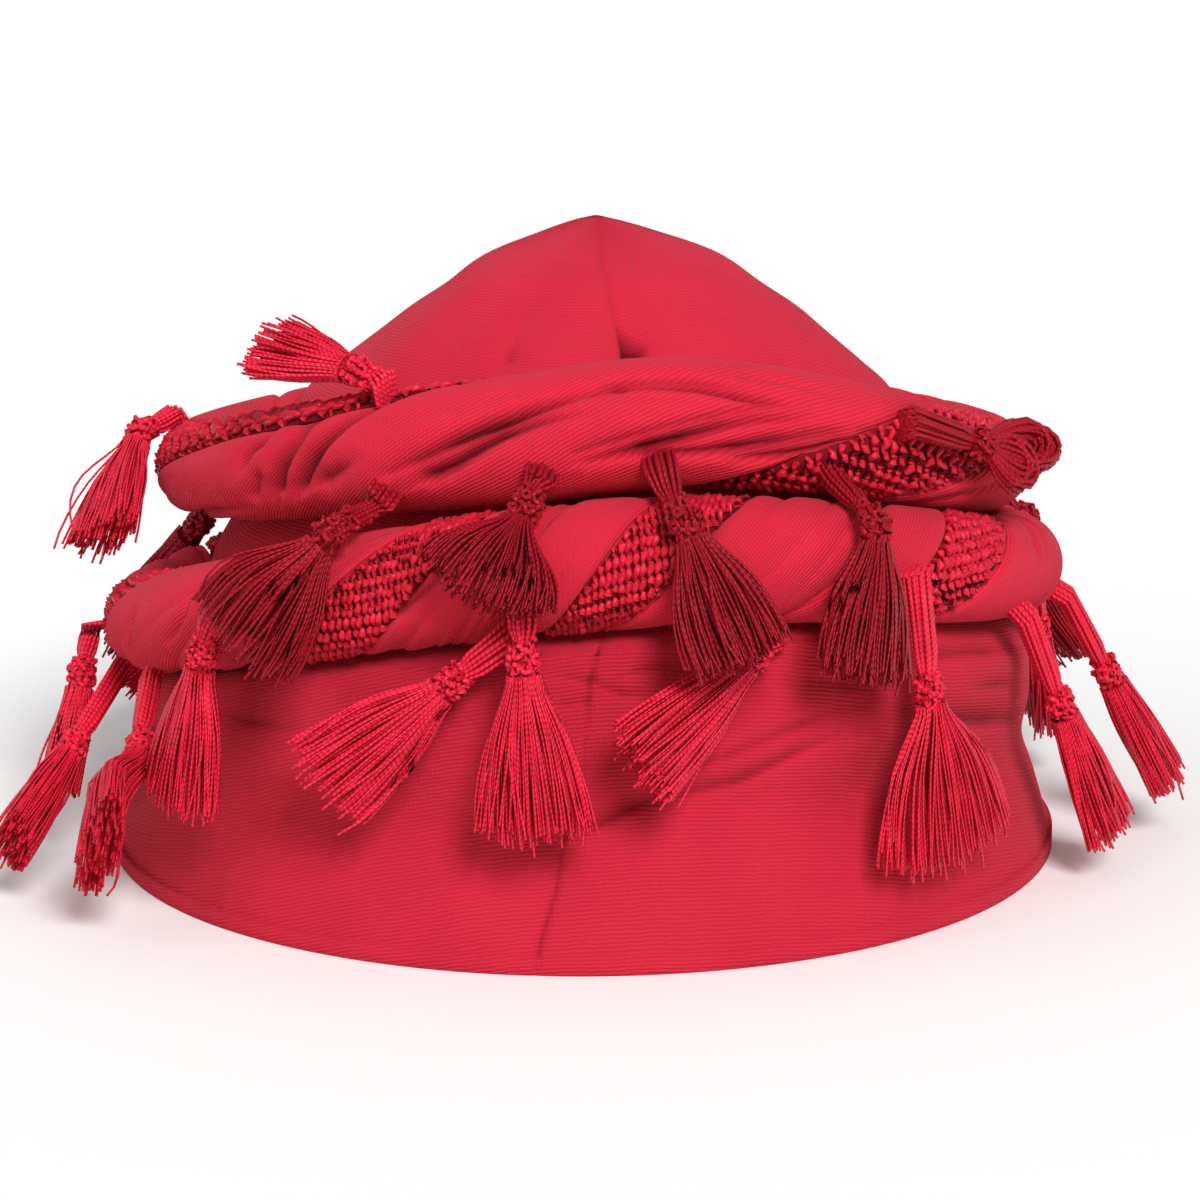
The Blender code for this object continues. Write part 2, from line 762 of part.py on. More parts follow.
def make_tassel(name, row, others):
    """A neck of threads, a knot, and a skirt of locks that fans out to a ragged hem."""
    roll, angle, section, heading, lift, neck, skirt, width = row
    _, radius = ROLLS[roll]
    stations = tassel_stations(neck, skirt, width)
    point = roll_point(roll, angle, section, radius(angle) + NECK_RADIUS + TASSEL_GAP)
    push, along = tassel_ways(angle, section, heading, lift, point.z, *stations[-1][1:3])
    side = push.cross(along).normalized()
    passed = 0.0
    placed = []
    for part, distance, wide, deep in stations:
        before = point
        point = point + along * (distance - passed)
        probes = []
        for aside in lanes_across(side, wide, deep):
            probes.append((point + aside, deep, 1.0))
            if distance > 0:
                probes.append(((point + before) / 2 + aside, deep, 0.5))
        if distance > 0:
            point = point + push_clear(probes, push, others)
        passed = distance
        placed.append((part, point.copy(), wide, deep))
    sections = []
    last = len(placed) - 1
    for i, (part, spot, wide, deep) in enumerate(placed):
        before = placed[max(0, i - 1)][1]
        way = (placed[min(last, i + 1)][1] - before).normalized()
        across = push.cross(way).normalized()
        thick = way.cross(across).normalized()
        ring = []
        for k in range(2 * LOCKS):
            turn = math.pi * k / LOCKS
            between = k % 2 == 1 and part == "skirt"
            lock = 1 - LOCK_DEPTH if between else 1.0
            offset = across * (wide * math.cos(turn)) + thick * (deep * math.sin(turn))
            ragged = RAGGED_HEM * SKIRT_LENGTH * skirt if between and i == last else 0.0
            ring.append(spot + offset * lock - way * ragged)
        sections.append(ring)
        for aside in lanes_across(across, wide, deep):
            others.append((spot + aside, deep))
            if i:
                others.append(((spot + before) / 2 + aside, deep))
    sections[0] = seat_root(roll, angle, section, sections[0], sections[1])
    return loft(name, sections, THREAD_RED, THREAD_ROUGHNESS, ring=False)


clear_scene()
HAT = bpy.data.collections.new("turban_durag")
bpy.context.scene.collection.children.link(HAT)

make_crown()
make_band()
make_roll(
    "lower_roll", "lower", LOWER_FOLDS, LOWER_TWIST, LOWER_TURNS, LOWER_STEPS_A_TURN, JERSEY_DEEP
)
make_roll(
    "upper_roll", "upper", UPPER_FOLDS, UPPER_TWIST, UPPER_TURNS, UPPER_STEPS_A_TURN, JERSEY
)
make_trim("lower_trim", "lower", LOWER_TWIST, LOWER_TURNS, LOWER_STEPS_A_TURN)
make_trim("upper_trim", "upper", UPPER_TWIST, UPPER_TURNS, UPPER_STEPS_A_TURN)
MIDDLE_LINES = middle_lines()
taken = []
for number, tassel in enumerate(TASSELS, start=1):
    make_tassel(f"tassel_{number:02d}", tassel, taken)
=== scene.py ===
# The looks of a pre-tied turban durag in red jersey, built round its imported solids. Metres, +Z up.
# Each soft solid is replaced by a finer piece of the same form: knitted cloth with its folds and
# seams, trims knotted from thread, and tassels of separate threads.

import math

import bpy
import numpy as np
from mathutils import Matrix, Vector


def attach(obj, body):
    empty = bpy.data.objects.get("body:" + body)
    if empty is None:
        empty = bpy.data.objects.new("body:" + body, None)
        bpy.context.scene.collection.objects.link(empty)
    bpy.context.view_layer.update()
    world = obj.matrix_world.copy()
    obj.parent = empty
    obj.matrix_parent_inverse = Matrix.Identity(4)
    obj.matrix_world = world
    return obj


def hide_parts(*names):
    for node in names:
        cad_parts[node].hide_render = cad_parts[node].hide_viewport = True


SEED = 7
MM = 1000

# Sizes and tables of the part that the pieces follow
RIM_RADIUS = 0.095
FRONT_TO_BACK = 1.03
PEAK_HEIGHT = 0.1265
TOP_SHIFT = 0.0028
SHIFT_START = 0.048
SHIFT_END = 0.078
CROWN_RADIUS = 0.0800
CROWN_WALL = 0.0020
BAND_WALL = 0.0025
HEM_HEIGHT = 0.0035
GAP = 0.0003

LOWER_RADIUS = {"front": 0.0122, "back": 0.0098, "left": 0.0098, "right": 0.0098}
LOWER_HEIGHT = {"front": 0.0746, "back": 0.0490, "left": 0.0450, "right": 0.0565}
UPPER_RADIUS = {"front": 0.0124, "back": 0.0102, "left": 0.0098, "right": 0.0098}
UPPER_HEIGHT = {"front": 0.0962, "back": 0.0715, "left": 0.0755, "right": 0.0765}
LOWER_TURNS = 8
UPPER_TURNS = 4
TRIM_THICKNESS = 0.0024
TRIM_SHARE = 0.27
SEAM_DROP = 0.32

TASSEL_GAP = 0.0004
FLOOR_CLEARANCE = 0.0030
NECK_LENGTH = 0.0200
NECK_RADIUS = 0.0021
KNOT_LENGTH = 0.0070
KNOT_RADIUS = 0.0038
SKIRT_LENGTH = 0.0290
SKIRT_HALF_WIDTH = 0.0105
SKIRT_HALF_DEPTH = 0.0036
PUSH_STEP = 0.0003
MOST_PUSHES = 250
LINE_STEP = 3

# Angles run round the hat in degrees from the front, and are positive towards the wearer's left,
# which is +X. A roll's section angles run from its outer side over its top.
CROWN_LINE = [
    # depth below the peak as a share of PEAK_HEIGHT, radius as a share of CROWN_RADIUS
    (0.000, 0.020),
    (0.012, 0.080),
    (0.032, 0.164),
    (0.073, 0.325),
    (0.114, 0.418),
    (0.154, 0.512),
    (0.195, 0.588),
    (0.236, 0.661),
    (0.277, 0.730),
    (0.326, 0.772),
    (0.405, 0.831),
    (0.557, 0.938),
    (0.648, 0.945),
    (1.000, 0.955),
]
BAND_LINE = [
    # height as a share of the wall under the roll, radius as a share of RIM_RADIUS
    (0.00, 1.000),
    (0.12, 0.985),
    (0.30, 0.960),
    (0.49, 0.934),
    (0.65, 0.946),
    (0.87, 0.932),
    (1.00, 0.905),
]
LOWER_TWIST = [
    # turns of the trim round the roll, angle round the hat
    (-2.00, -88.0),
    (-1.00, -26.0),
    (0.00, 4.0),
    (1.00, 48.0),
    (2.00, 96.0),
]
UPPER_TWIST = [
    # turns, angle
    (0.00, -100.0),
    (0.14, -84.0),
    (0.24, -60.0),
    (0.31, -36.0),
    (1.00, 49.0),
    (1.38, 90.0),
]

# Soft folds: angle and height of the middle, tilt in degrees, length and width as shares of the
# piece's radius, and depth in wall thicknesses, positive outwards. A crown fold's height is the
# depth below the peak as a share of PEAK_HEIGHT, and a band fold's is a share of its wall.
BAND_FOLDS = [
    # angle, height, tilt, length, width, depth
    (28.0, 0.34, 20.0, 0.55, 0.10, -0.9),
    (62.0, 0.62, 4.0, 0.45, 0.12, -1.3),
    (66.0, 0.86, 6.0, 0.50, 0.13, 1.2),
    (12.0, 0.78, 30.0, 0.35, 0.10, -0.8),
    (-38.0, 0.62, -14.0, 0.50, 0.13, -0.8),
    (-82.0, 0.55, 6.0, 0.40, 0.13, -1.1),
    (150.0, 0.60, -12.0, 0.60, 0.14, -0.9),
    (-135.0, 0.50, 10.0, 0.60, 0.14, -0.8),
]
CROWN_FOLDS = [
    # angle, depth below peak, tilt, length, width, depth
    (9.0, 0.10, 84.0, 0.30, 0.07, -0.7),
    (18.0, 0.30, 70.0, 0.24, 0.10, -1.9),
    (4.0, 0.28, 84.0, 0.20, 0.08, 0.8),
    (-24.0, 0.30, 66.0, 0.22, 0.09, -1.1),
    (-52.0, 0.20, 50.0, 0.30, 0.12, 0.9),
    (-104.0, 0.14, 0.0, 0.50, 0.20, -1.7),
    (58.0, 0.34, -50.0, 0.25, 0.12, -1.0),
    (118.0, 0.26, 60.0, 0.30, 0.14, -1.0),
    (-140.0, 0.28, -60.0, 0.32, 0.14, -1.0),
    (176.0, 0.14, 86.0, 0.34, 0.09, -0.7),
]

# Seams and sharp creases, each a line of (angle, height, depth in millimetres) with the width of
# its slope on the left and on the right in millimetres. Heights are given as the folds' are.
CROWN_CREASES = [
    # left, right, line
    (0.5, 6, [
        (5.8, 0.104, 0.5), (3, 0.047, 0.7), (3, 0.02, 1.1), (2, 0.007, 0.4), (2, 0, 0.1),
        (177, 0.02, 0.2), (178, 0.09, 0.5), (180, 0.3, 0.7),
    ]),
    (0.7, 0.7, [(2.6, 0.03, 0.4), (3.2, 0.047, 0.7), (4, 0.07, 0.5), (5.8, 0.104, 0.7)]),
    (0.45, 2.8, [(8.4, 0.2, 1.2), (8, 0.165, 2.5), (7.2, 0.135, 2.1), (5.8, 0.104, 0.5)]),
    (1.6, 2.6, [(13.5, 0.166, 0.4), (11, 0.158, 1.9), (8.6, 0.16, 1.2)]),
    (3, 6, [(11, 0.125, 0), (13, 0.15, 0.9), (17, 0.172, 0)]),
    (2.5, 1.2, [(24, 0.13, 0), (25, 0.152, 0.6), (24, 0.175, 0.1)]),
    (2.5, 1.4, [(47, 0.185, 0.1), (49.5, 0.209, 1.5), (46, 0.23, 0.4)]),
    (6, 3, [(-26, 0.075, 0), (-25, 0.112, 0.9), (-24, 0.165, 1.8), (-26, 0.19, 0.4)]),
    (6, 6, [(-50, 0.09, 0), (-44, 0.13, 1), (-42, 0.18, 0.3)]),
    (4, 6, [(148, 0.14, 0), (150, 0.22, 1.3), (156, 0.3, 0.2)]),
    (5, 4, [(-152, 0.18, 0), (-158, 0.26, 1.2), (-156, 0.33, 0.2)]),
    (5, 3, [(96, 0.16, 0), (101, 0.23, 1.2), (98, 0.29, 0.2)]),
]
BAND_CREASES = [
    # left, right, line
    (0.6, 0.7, [
        (-5.2, 0.02, 1.1), (-4.5, 0.114, 1.1), (-3, 0.241, 1), (-2, 0.415, 1), (-1.2, 0.462, 0.8),
    ]),
    (0.6, 0.8, [(-1.2, 0.462, 0.6), (0.2, 0.64, 0.6), (0.8, 0.873, 0.9), (1.5, 1, 0.9)]),
    (3.2, 0.8, [
        (-0.5, 0.41, 1.2), (6, 0.482, 1.4), (12, 0.52, 1), (19.8, 0.552, 1.3), (26.8, 0.632, 1.1),
        (34, 0.69, 0.2),
    ]),
    (2.4, 0.9, [(10, 0.59, 0.1), (18, 0.64, 0.8), (27, 0.72, 0.9), (34, 0.77, 0.2)]),
    (1.4, 1, [(2, 0.87, 0.7), (5, 0.835, 0.9), (9, 0.82, 0.1)]),
    (2.4, 1, [(3, 0.885, 0.3), (8, 0.905, 0.9), (14, 0.93, 0.3)]),
    (1.2, 0.7, [(-6, 0.905, 0.1), (-2, 0.9, 0.7), (0.7, 0.885, 0.7)]),
    (1, 0.7, [(-5, 0.8, 0.1), (-2, 0.815, 0.6), (0.6, 0.82, 0.6)]),
    (3.2, 1.3, [(42, 0.69, 0.3), (50.2, 0.68, 1.7), (64, 0.63, 1.7), (78, 0.58, 1)]),
    (2.6, 1.2, [(40, 0.87, 0.2), (47, 0.915, 1.6), (60, 0.925, 1.2), (72, 0.88, 0.3)]),
    (2.4, 1.4, [(54, 0.8, 0.2), (64, 0.775, 1.1), (76, 0.74, 0.2)]),
    (2.4, 1.2, [(24, 0.86, 0.2), (34, 0.835, 1.1), (46, 0.79, 0.2)]),
    (2.8, 1.2, [(-84, 0.74, 0.3), (-74, 0.65, 1.3), (-60, 0.56, 0.2)]),
    (2.6, 1.2, [(-60, 0.88, 0.2), (-46, 0.8, 1.2), (-34, 0.75, 0.2)]),
    (2.2, 1, [(-30, 0.8, 0.2), (-20, 0.84, 0.9), (-8, 0.9, 0.4)]),
    (2, 1, [(-24, 0.96, 0.3), (-14, 0.93, 0.9), (-5, 0.95, 0.3)]),
    (0.8, 0.9, [(178, 0.02, 0.8), (179, 0.4, 0.8), (180, 0.98, 0.8)]),
    (3, 1.4, [(150, 0.62, 0.1), (163, 0.56, 1.3), (176, 0.52, 0.3)]),
    (3, 1.4, [(-176, 0.7, 0.2), (-160, 0.64, 1.3), (-140, 0.66, 0.2)]),
    (3, 1.4, [(96, 0.76, 0.2), (110, 0.7, 1.4), (126, 0.72, 0.2)]),
    (3, 1.4, [(-120, 0.78, 0.2), (-108, 0.7, 1.4), (-94, 0.72, 0.2)]),
]
# A roll's crease is a line of (angle, section, depth), and CREASE_DEPTH deepens all of them.
CREASE_DEPTH = 1.45
UPPER_CREASES = [
    # left, right, line
    (2.4, 0.8, [
        (-52.5, 0, 0.8), (-51.8, 9, 1.6), (-50.8, 19, 1.7), (-49, 27, 1.3), (-48, 38, 0.9),
        (-46.8, 47, 0.1),
    ]),
    (2, 1.4, [(-51, -30, 1.4), (-49.5, -10, 1.3), (-49.5, 5, 0.2)]),
    (3.2, 1, [
        (-45.8, -26, 2.2), (-44.5, -2, 2.2), (-42.2, 24, 1.4), (-41.2, 46, 1.8), (-39, 62, 1.9),
        (-37, 78, 0.6),
    ]),
    (2.8, 0.8, [
        (-41.5, -26, 2), (-39, 4, 2.4), (-37.2, 21, 2.2), (-34.5, 38, 1.9), (-30.5, 58, 1.5),
        (-26, 74, 1.1), (-20, 84, 0.3),
    ]),
    (3.6, 1.6, [(-37.2, -20, 1.8), (-34.8, -11, 1.6), (-31, 6, 0.2)]),
    (2.6, 0.7, [
        (-27.5, -16, 0.8), (-22.5, -3, 1.4), (-17.2, 13, 2.2), (-12.2, 27, 2.2), (-7.2, 37, 1.6),
        (-2.2, 43, 1.1), (3.2, 47, 1),
    ]),
    (2.2, 0.7, [
        (3.2, 47, 1), (8.5, 47, 1.3), (13.8, 44, 1.7), (19.2, 37, 1.7), (22, 35, 1.3),
        (27, 34, 0.2),
    ]),
    (2.6, 0.8, [
        (-21.5, -24, 2.4), (-18.5, -15, 2.4), (-15.8, -3, 2.5), (-12, 13, 2.4), (-7, 22, 1.6),
        (-2.2, 26, 0.8), (2, 27, 0.1),
    ]),
    (0.9, 0.5, [
        (-2.8, -10, 0.5), (1.8, -3, 0.9), (6.8, 5, 0.8), (13.2, 15, 0.7), (18.8, 24, 0.7),
        (24.8, 32, 0.4), (31, 37, 0.1),
    ]),
    (2.6, 0.8, [
        (-1, -20, 0.8), (5.5, -14, 1.8), (10.5, -6, 2.3), (15.8, 5, 1.8), (21.2, 14, 1.3),
        (25.5, 18, 1), (32, 23, 0.2),
    ]),
    (2.2, 0.8, [
        (6.8, -20, 1.6), (12.2, -19, 1.6), (18.8, -14, 1.8), (24, -6, 1.6), (30, 4, 0.8),
        (34, 9, 0.1),
    ]),
    (2.2, 0.8, [(18.8, -24, 1), (23, -22, 1.7), (27, -17, 1.9), (32.8, -4, 1.5), (37, 2, 0.3)]),
    (1, 0.8, [(-22, 82, 0.1), (-17, 84, 1.2), (-12, 84, 0.1)]),
    (1.6, 0.9, [(26.8, 6, 0.1), (32.8, 10, 0.6), (37.8, 17, 0.5), (41.8, 24, 0.1)]),
    (1.2, 0.6, [(0.5, 54, 0.2), (6, 56, 0.6), (11.5, 56, 0.7), (17, 52, 0.6), (23, 47, 0.1)]),
    (1.2, 0.6, [(16, 64, 0.1), (22, 60, 0.6), (30, 52, 0.5), (36, 44, 0.1)]),
    (1.2, 0.7, [(-1, 35, 0.1), (4, 37, 0.5), (10, 34, 0.5), (16, 31, 0.1)]),
    (1.4, 0.8, [(-30, 24, 0.1), (-24, 36, 0.5), (-16, 50, 0.5), (-8, 58, 0.1)]),
]
LOWER_CREASES = [
    # left, right, line
    (1, 0.8, [
        (-54.8, -18, 0.9), (-52.8, -6, 1.1), (-51.2, 9, 1), (-50.8, 22, 0.8), (-49.5, 38, 0.1),
    ]),
    (1.6, 1.2, [(-65.5, -18, 0.8), (-64.2, 7, 0.7), (-61.5, 38, 0.1)]),
    (2.2, 0.7, [
        (-21.8, -15, 1.3), (-20, -4, 1.3), (-18.5, 6, 1.1), (-17, 16, 0.8), (-15, 30, 0.1),
    ]),
    (0.9, 2.6, [
        (5, -20, 2.2), (7.8, -1, 2.3), (9.5, 14, 2.3), (10.8, 34, 2.4), (11.5, 57, 2),
        (12.5, 75, 0.8),
    ]),
    (1.6, 1.2, [(66.5, 3, 0.2), (68, 30, 1), (71, 56, 0.8)]),
]

UPPER_RIBS = [
    # angle round the hat, turns of the cloth's ribs round the roll
    (-100.0, 0.00),
    (-60.0, 0.42),
    (-25.0, 1.00),
    (10.0, 1.34),
    (45.0, 1.58),
    (90.0, 2.10),
    (170.0, 3.00),
    (260.0, 4.00),
]

# Tassels: the roll that each hangs from, its place round the hat and on the roll's section, the
# way it heads across the surface (0 down, 90 right, -90 left), how far it stands off the surface,
# and its neck, skirt and half width as shares of their named sizes.
TASSELS = [
    # roll, angle, section, heading, lift, neck, skirt, width
    ("upper", -31, 74, -98, 0, 0.1, 0.6, 0.9),
    ("upper", -92, 60, 30, 20, 0.35, 0.76, 1.1),
    ("lower", -43, 30, -12, 2, 0.6, 0.9, 1),
    ("upper", -28, -30, -36, 4, 0.1, 0.78, 1.2),
    ("upper", -7, -20, -24, 34, 0.1, 0.5, 1.3),
    ("upper", 8, -22, 20, 22, 0.25, 0.76, 0.9),
    ("upper", 33, -34, -16, 14, 0.1, 0.8, 0.95),
    ("upper", 44, 24, 68, 6, 0.75, 0.45, 0.6),
    ("lower", -80, -54, 30, 18, 0.9, 0.8, 0.75),
    ("lower", -65, -62, 34, 16, 0.7, 0.8, 1.35),
    ("lower", -84, -6, 20, 12, 0.3, 0.66, 0.85),
    ("lower", -9, -36, -50, 4, 0.55, 0.9, 0.95),
    ("lower", -8, 8, 4, 4, 0.55, 0.95, 1),
    ("lower", 22, -60, -58, 14, 0.15, 0.92, 0.9),
    ("lower", 38, 2, 8, 2, 0.95, 1, 1.6),
    ("lower", 64, -44, 20, 14, 0.8, 0.85, 0.75),
    ("lower", 82, -30, 20, 25, 0.8, 0.8, 0.75),
    ("lower", 104, -36, 30, 14, 0.5, 0.75, 0.85),
    ("lower", 132, -30, -36, 10, 0.35, 0.75, 1.05),
    ("lower", 161, -30, 38, 8, 0.4, 0.75, 1),
    ("lower", -165, -30, -40, 10, 0.35, 0.75, 1.1),
    ("lower", -132, -30, 30, 8, 0.35, 0.7, 0.95),
    ("upper", 112, -40, 14, 10, 0.3, 0.85, 1),
    ("upper", 148, -40, 22, 10, 0.35, 0.85, 1),
    ("upper", 178, -40, -20, 10, 0.3, 0.85, 1),
    ("upper", -146, -40, 18, 10, 0.35, 0.85, 1),
    ("upper", -116, -40, -16, 10, 0.35, 0.85, 1),
]
LOOPED = 8
BRIGHT_UPPER = (1, 2)
TASSEL_LINE = [
    # part, place, half width, half depth
    ("neck", 0.00, 1.00, 1.00),
    ("neck", 1.00, 1.00, 1.00),
    ("knot", 0.45, 1.00, 0.85),
    ("knot", 1.00, 0.80, 0.70),
    ("skirt", 0.42, 0.64, 0.90),
    ("skirt", 1.00, 1.00, 1.00),
]
KNOT_MIDDLE, KNOT_END, SKIRT_MIDDLE, SKIRT_END = 2, 3, 4, 5

# How finely the cloth is divided, and how much closer its columns stand in front
CROWN_GRID = {"columns": 400, "rows": 100, "inner_rows": 14, "crowding": 0.70}
BAND_GRID = {"columns": 460, "rows": 112, "inner_rows": 12, "crowding": 0.72}
SHOULDER_START, SHOULDER_END, INNER_START = -162, -104, -150
HEM_ROUND = 0.0003
ROLL_CROWDING = 0.62
CHANNEL_POINTS = 8
ROLL_REACH = 0.085
GATHERS_PER_TURN = 9
MOST_GATHERED = 3.4
ROLLS_TO_WIND = {
    # creases, twist, turns, ribs, steps round the hat, points round the roll
    "lower": (LOWER_CREASES, LOWER_TWIST, LOWER_TURNS, None, 600, 100),
    "upper": (UPPER_CREASES, UPPER_TWIST, UPPER_TURNS, UPPER_RIBS, 540, 116),
}

# Threads, with their lengths in metres
TRIM_CORDS = {
    # knots across the trim, pitch of its cords
    "lower": (7, 0.0022),
    "upper": (6, 0.0025),
}
RIBBON_DEPTH = 0.0017
RIBBON_STEPS = 60
CORD_RADIUS = 0.00038
KNOT_SWELL = 0.00049
SKIRTS = {
    # layers, threads in each, steps, radius of a thread, how far it wanders, puff of the skirt
    "fine": (5, 36, 8, 0.00029, 0.00090, 0.22),
    "plain": (4, 45, 9, 0.00028, 0.00075, 0.08),
}
NECK_STRANDS = 24
STRAND_RADIUS = 0.00044
ROOT_DEPTH = 0.0016
KNOT_LOOPS = 16
KNOT_CORD = 0.00052
LOOP_CORDS = 84
LOOP_CORD = 0.00050
LOWEST_THREAD = 0.0006
GOLDEN_TURN = 0.381966


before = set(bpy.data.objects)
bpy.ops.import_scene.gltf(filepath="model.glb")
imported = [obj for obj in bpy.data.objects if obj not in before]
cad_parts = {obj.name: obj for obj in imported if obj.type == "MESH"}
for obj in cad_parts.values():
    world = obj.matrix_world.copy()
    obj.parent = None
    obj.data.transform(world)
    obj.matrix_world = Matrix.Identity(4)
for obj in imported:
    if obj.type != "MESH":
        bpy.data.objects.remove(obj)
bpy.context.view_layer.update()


# Curves and places shared with the part

def smooth_line(table, at):
    """Values at places in a table of (place, value), on a monotone cubic curve."""
    place_of, value_of = np.array(table, float).T
    slopes = np.diff(value_of) / np.diff(place_of)
    left, right = slopes[:-1], slopes[1:]
    same = left * right > 0
    inner = np.where(same, 2 * left * right / np.where(same, left + right, 1), 0)
    tangents = np.concatenate([slopes[:1], inner, slopes[-1:]])
    at = np.clip(at, place_of[0], place_of[-1])
    i = np.clip(np.searchsorted(place_of, at, side="right") - 1, 0, len(slopes) - 1)
    run = place_of[i + 1] - place_of[i]
    t = (at - place_of[i]) / run
    start = value_of[i] * (1 + 2 * t) * (1 - t) ** 2
    end = value_of[i + 1] * t * t * (3 - 2 * t)
    bend = tangents[i] * t * (1 - t) ** 2 - tangents[i + 1] * t * t * (1 - t)
    return start + end + run * bend


def round_hat(angle, sizes):
    """A size that passes smoothly through its values at the front, back and sides."""
    turn = np.radians(angle)
    front, back, left, right = (sizes[k] for k in ("front", "back", "left", "right"))
    middle = (front + back + left + right) / 4
    forward = (front - back) / 2
    sideways = (right - left) / 2
    oval = (front + back - left - right) / 4
    return middle + forward * np.cos(turn) + sideways * np.sin(turn) + oval * np.cos(2 * turn)


def shift_at(height):
    """How far the top of the hat has slumped to its left side at this height."""
    rise = np.clip((height - SHIFT_START) / (SHIFT_END - SHIFT_START), 0, 1)
    return TOP_SHIFT * rise * rise * (3 - 2 * rise)


def stack(x, y, z):
    """Points from their coordinates, each an array or a number."""
    return np.stack(np.broadcast_arrays(x, y, z), axis=-1)


def place(angle, radius, height):
    """A point of the hat at an angle, a radius and a height."""
    turn = np.radians(angle)
    return stack(
        shift_at(height) + radius * np.sin(turn), -radius * FRONT_TO_BACK * np.cos(turn), height
    )


def unit(vectors):
    return vectors / np.linalg.norm(vectors, axis=-1, keepdims=True)


def outward(angle):
    """The level way out of the hat."""
    turn = np.radians(angle)
    return unit(stack(np.sin(turn) * FRONT_TO_BACK, -np.cos(turn), 0 * turn))


def fold_relief(folds, angle, height, around, upright):
    """The soft folds' depth, in wall thicknesses. The last two turn angle and height into radii."""
    total = 0.0
    for fold_angle, fold_height, tilt, length, width, depth in folds:
        apart = (angle - fold_angle + 180) % 360 - 180
        across = np.radians(apart) * around
        up = (height - fold_height) * upright
        lean = math.radians(tilt)
        along = (across * math.cos(lean) + up * math.sin(lean)) / length
        aside = (up * math.cos(lean) - across * math.sin(lean)) / width
        total = total + depth * np.exp(-2 * along**2 - aside**2)
    return total


def crease_relief(points, normals, line, left, right):
    """Metres that a crease sinks each point: line is (point, depth) rows on the surface."""
    nearest = np.full(points.shape[:-1], 1.0)
    depth = np.zeros_like(nearest)
    side = np.zeros_like(nearest)
    for (start, first), (end, second) in zip(line, line[1:]):
        run = end - start
        t = np.clip((points - start) @ run / (run @ run), 0, 1)
        gap = points - start - t[..., None] * run
        apart = np.linalg.norm(gap, axis=-1)
        closer = apart < nearest
        nearest = np.where(closer, apart, nearest)
        depth = np.where(closer, first + (second - first) * t, depth)
        side = np.where(closer, (np.cross(run, gap) * normals).sum(-1), side)
    width = np.where(side > 0, left, right)
    return depth * np.exp(-((nearest / width) ** 1.25))


def surface_normals(points):
    """Outward normals of a grid whose rows run down and whose columns run round the hat."""
    down = np.gradient(points, axis=0)
    wrapped = np.concatenate([points[:, -1:], points, points[:, :1]], axis=1)
    along = (wrapped[:, 2:] - wrapped[:, :-2]) / 2
    return unit(np.cross(down, along) + 1e-15)


def creased(points, normals, creases, surface):
    """The points with the creases pressed in against their normals, and how far each has sunk."""
    sunk = np.zeros(points.shape[:-1])
    for left, right, line in creases:
        rows = [(surface(np.float64(angle), at), depth / MM) for angle, at, depth in line]
        sunk = sunk + crease_relief(points, normals, rows, left / MM, right / MM)
    return points - normals * sunk[..., None], sunk


def crown_radius(height):
    return CROWN_RADIUS * smooth_line(CROWN_LINE, (PEAK_HEIGHT - height) / PEAK_HEIGHT)


def seat_on_crown(angle, height, reach):
    """The radius at which a round section of this reach just meets the crown."""
    sideways = np.sin(np.radians(angle))
    found = 0.0
    for tilt in np.linspace(-math.pi / 2, math.pi / 2, 25):
        level = height + reach * math.sin(tilt)
        slump = (shift_at(level) - shift_at(height)) * sideways
        found = np.maximum(found, crown_radius(level) + slump + reach * math.cos(tilt))
    return found


ROUND = np.arange(-180.0, 181.0, 1.0)


def roll_lines():
    """The middle line of each roll at every degree, as (radius, height, thickness)."""
    low_thick = round_hat(ROUND, LOWER_RADIUS)
    low_height = round_hat(ROUND, LOWER_HEIGHT)
    low_radius = seat_on_crown(ROUND, low_height, low_thick + 2 * GAP)
    thick = round_hat(ROUND, UPPER_RADIUS)
    reach = thick + 2 * GAP
    apart = low_thick + thick + 3 * GAP
    height = round_hat(ROUND, UPPER_HEIGHT)
    for _ in range(8):
        slump = (shift_at(low_height) - shift_at(height)) * np.sin(np.radians(ROUND))
        aside = low_radius + slump - seat_on_crown(ROUND, height, reach)
        height = np.maximum(height, low_height + np.sqrt(np.maximum(0, apart**2 - aside**2)))
    return {
        "lower": (low_radius, low_height, low_thick),
        "upper": (seat_on_crown(ROUND, height, reach), height, thick),
    }


ROLLS = roll_lines()


def roll_line(roll, angle):
    """The radius, height and thickness of a roll's middle line."""
    at = (angle + 180) % 360 - 180
    return tuple(np.interp(at, ROUND, line) for line in ROLLS[roll])


def roll_point(roll, angle, section, reach):
    """A point at a section angle in degrees and a distance from the roll's middle line."""
    radius, height, _ = roll_line(roll, angle)
    tilt = np.radians(section)
    out = outward(angle)
    point = place(angle, radius, height) + out * np.expand_dims(reach * np.cos(tilt), -1)
    return point + stack(0, 0, reach * np.sin(tilt))


def on_roll(roll, angle, section, rise=0.0):
    """A point of the roll's surface, or so far outside it."""
    return roll_point(roll, angle, section, roll_line(roll, angle)[2] + rise)


def twist_angle(table, turns, turn):
    """The angle round the hat where the roll has made these turns."""
    first_turn, first_angle = table[0]
    last_turn, last_angle = table[-1]
    rows = list(table)
    for share in (1 / 3, 2 / 3, 1.0):
        rows.append((
            last_turn + share * (turns + first_turn - last_turn),
            last_angle + share * (360 + first_angle - last_angle),
        ))
    return smooth_line(rows, turn)


def seam_height(angle):
    """Where the crown meets the band, hidden behind the lower roll."""
    return round_hat(angle, LOWER_HEIGHT) - SEAM_DROP * round_hat(angle, LOWER_RADIUS)


def band_top(angle):
    return round_hat(angle, LOWER_HEIGHT) - round_hat(angle, LOWER_RADIUS) - 3 * GAP


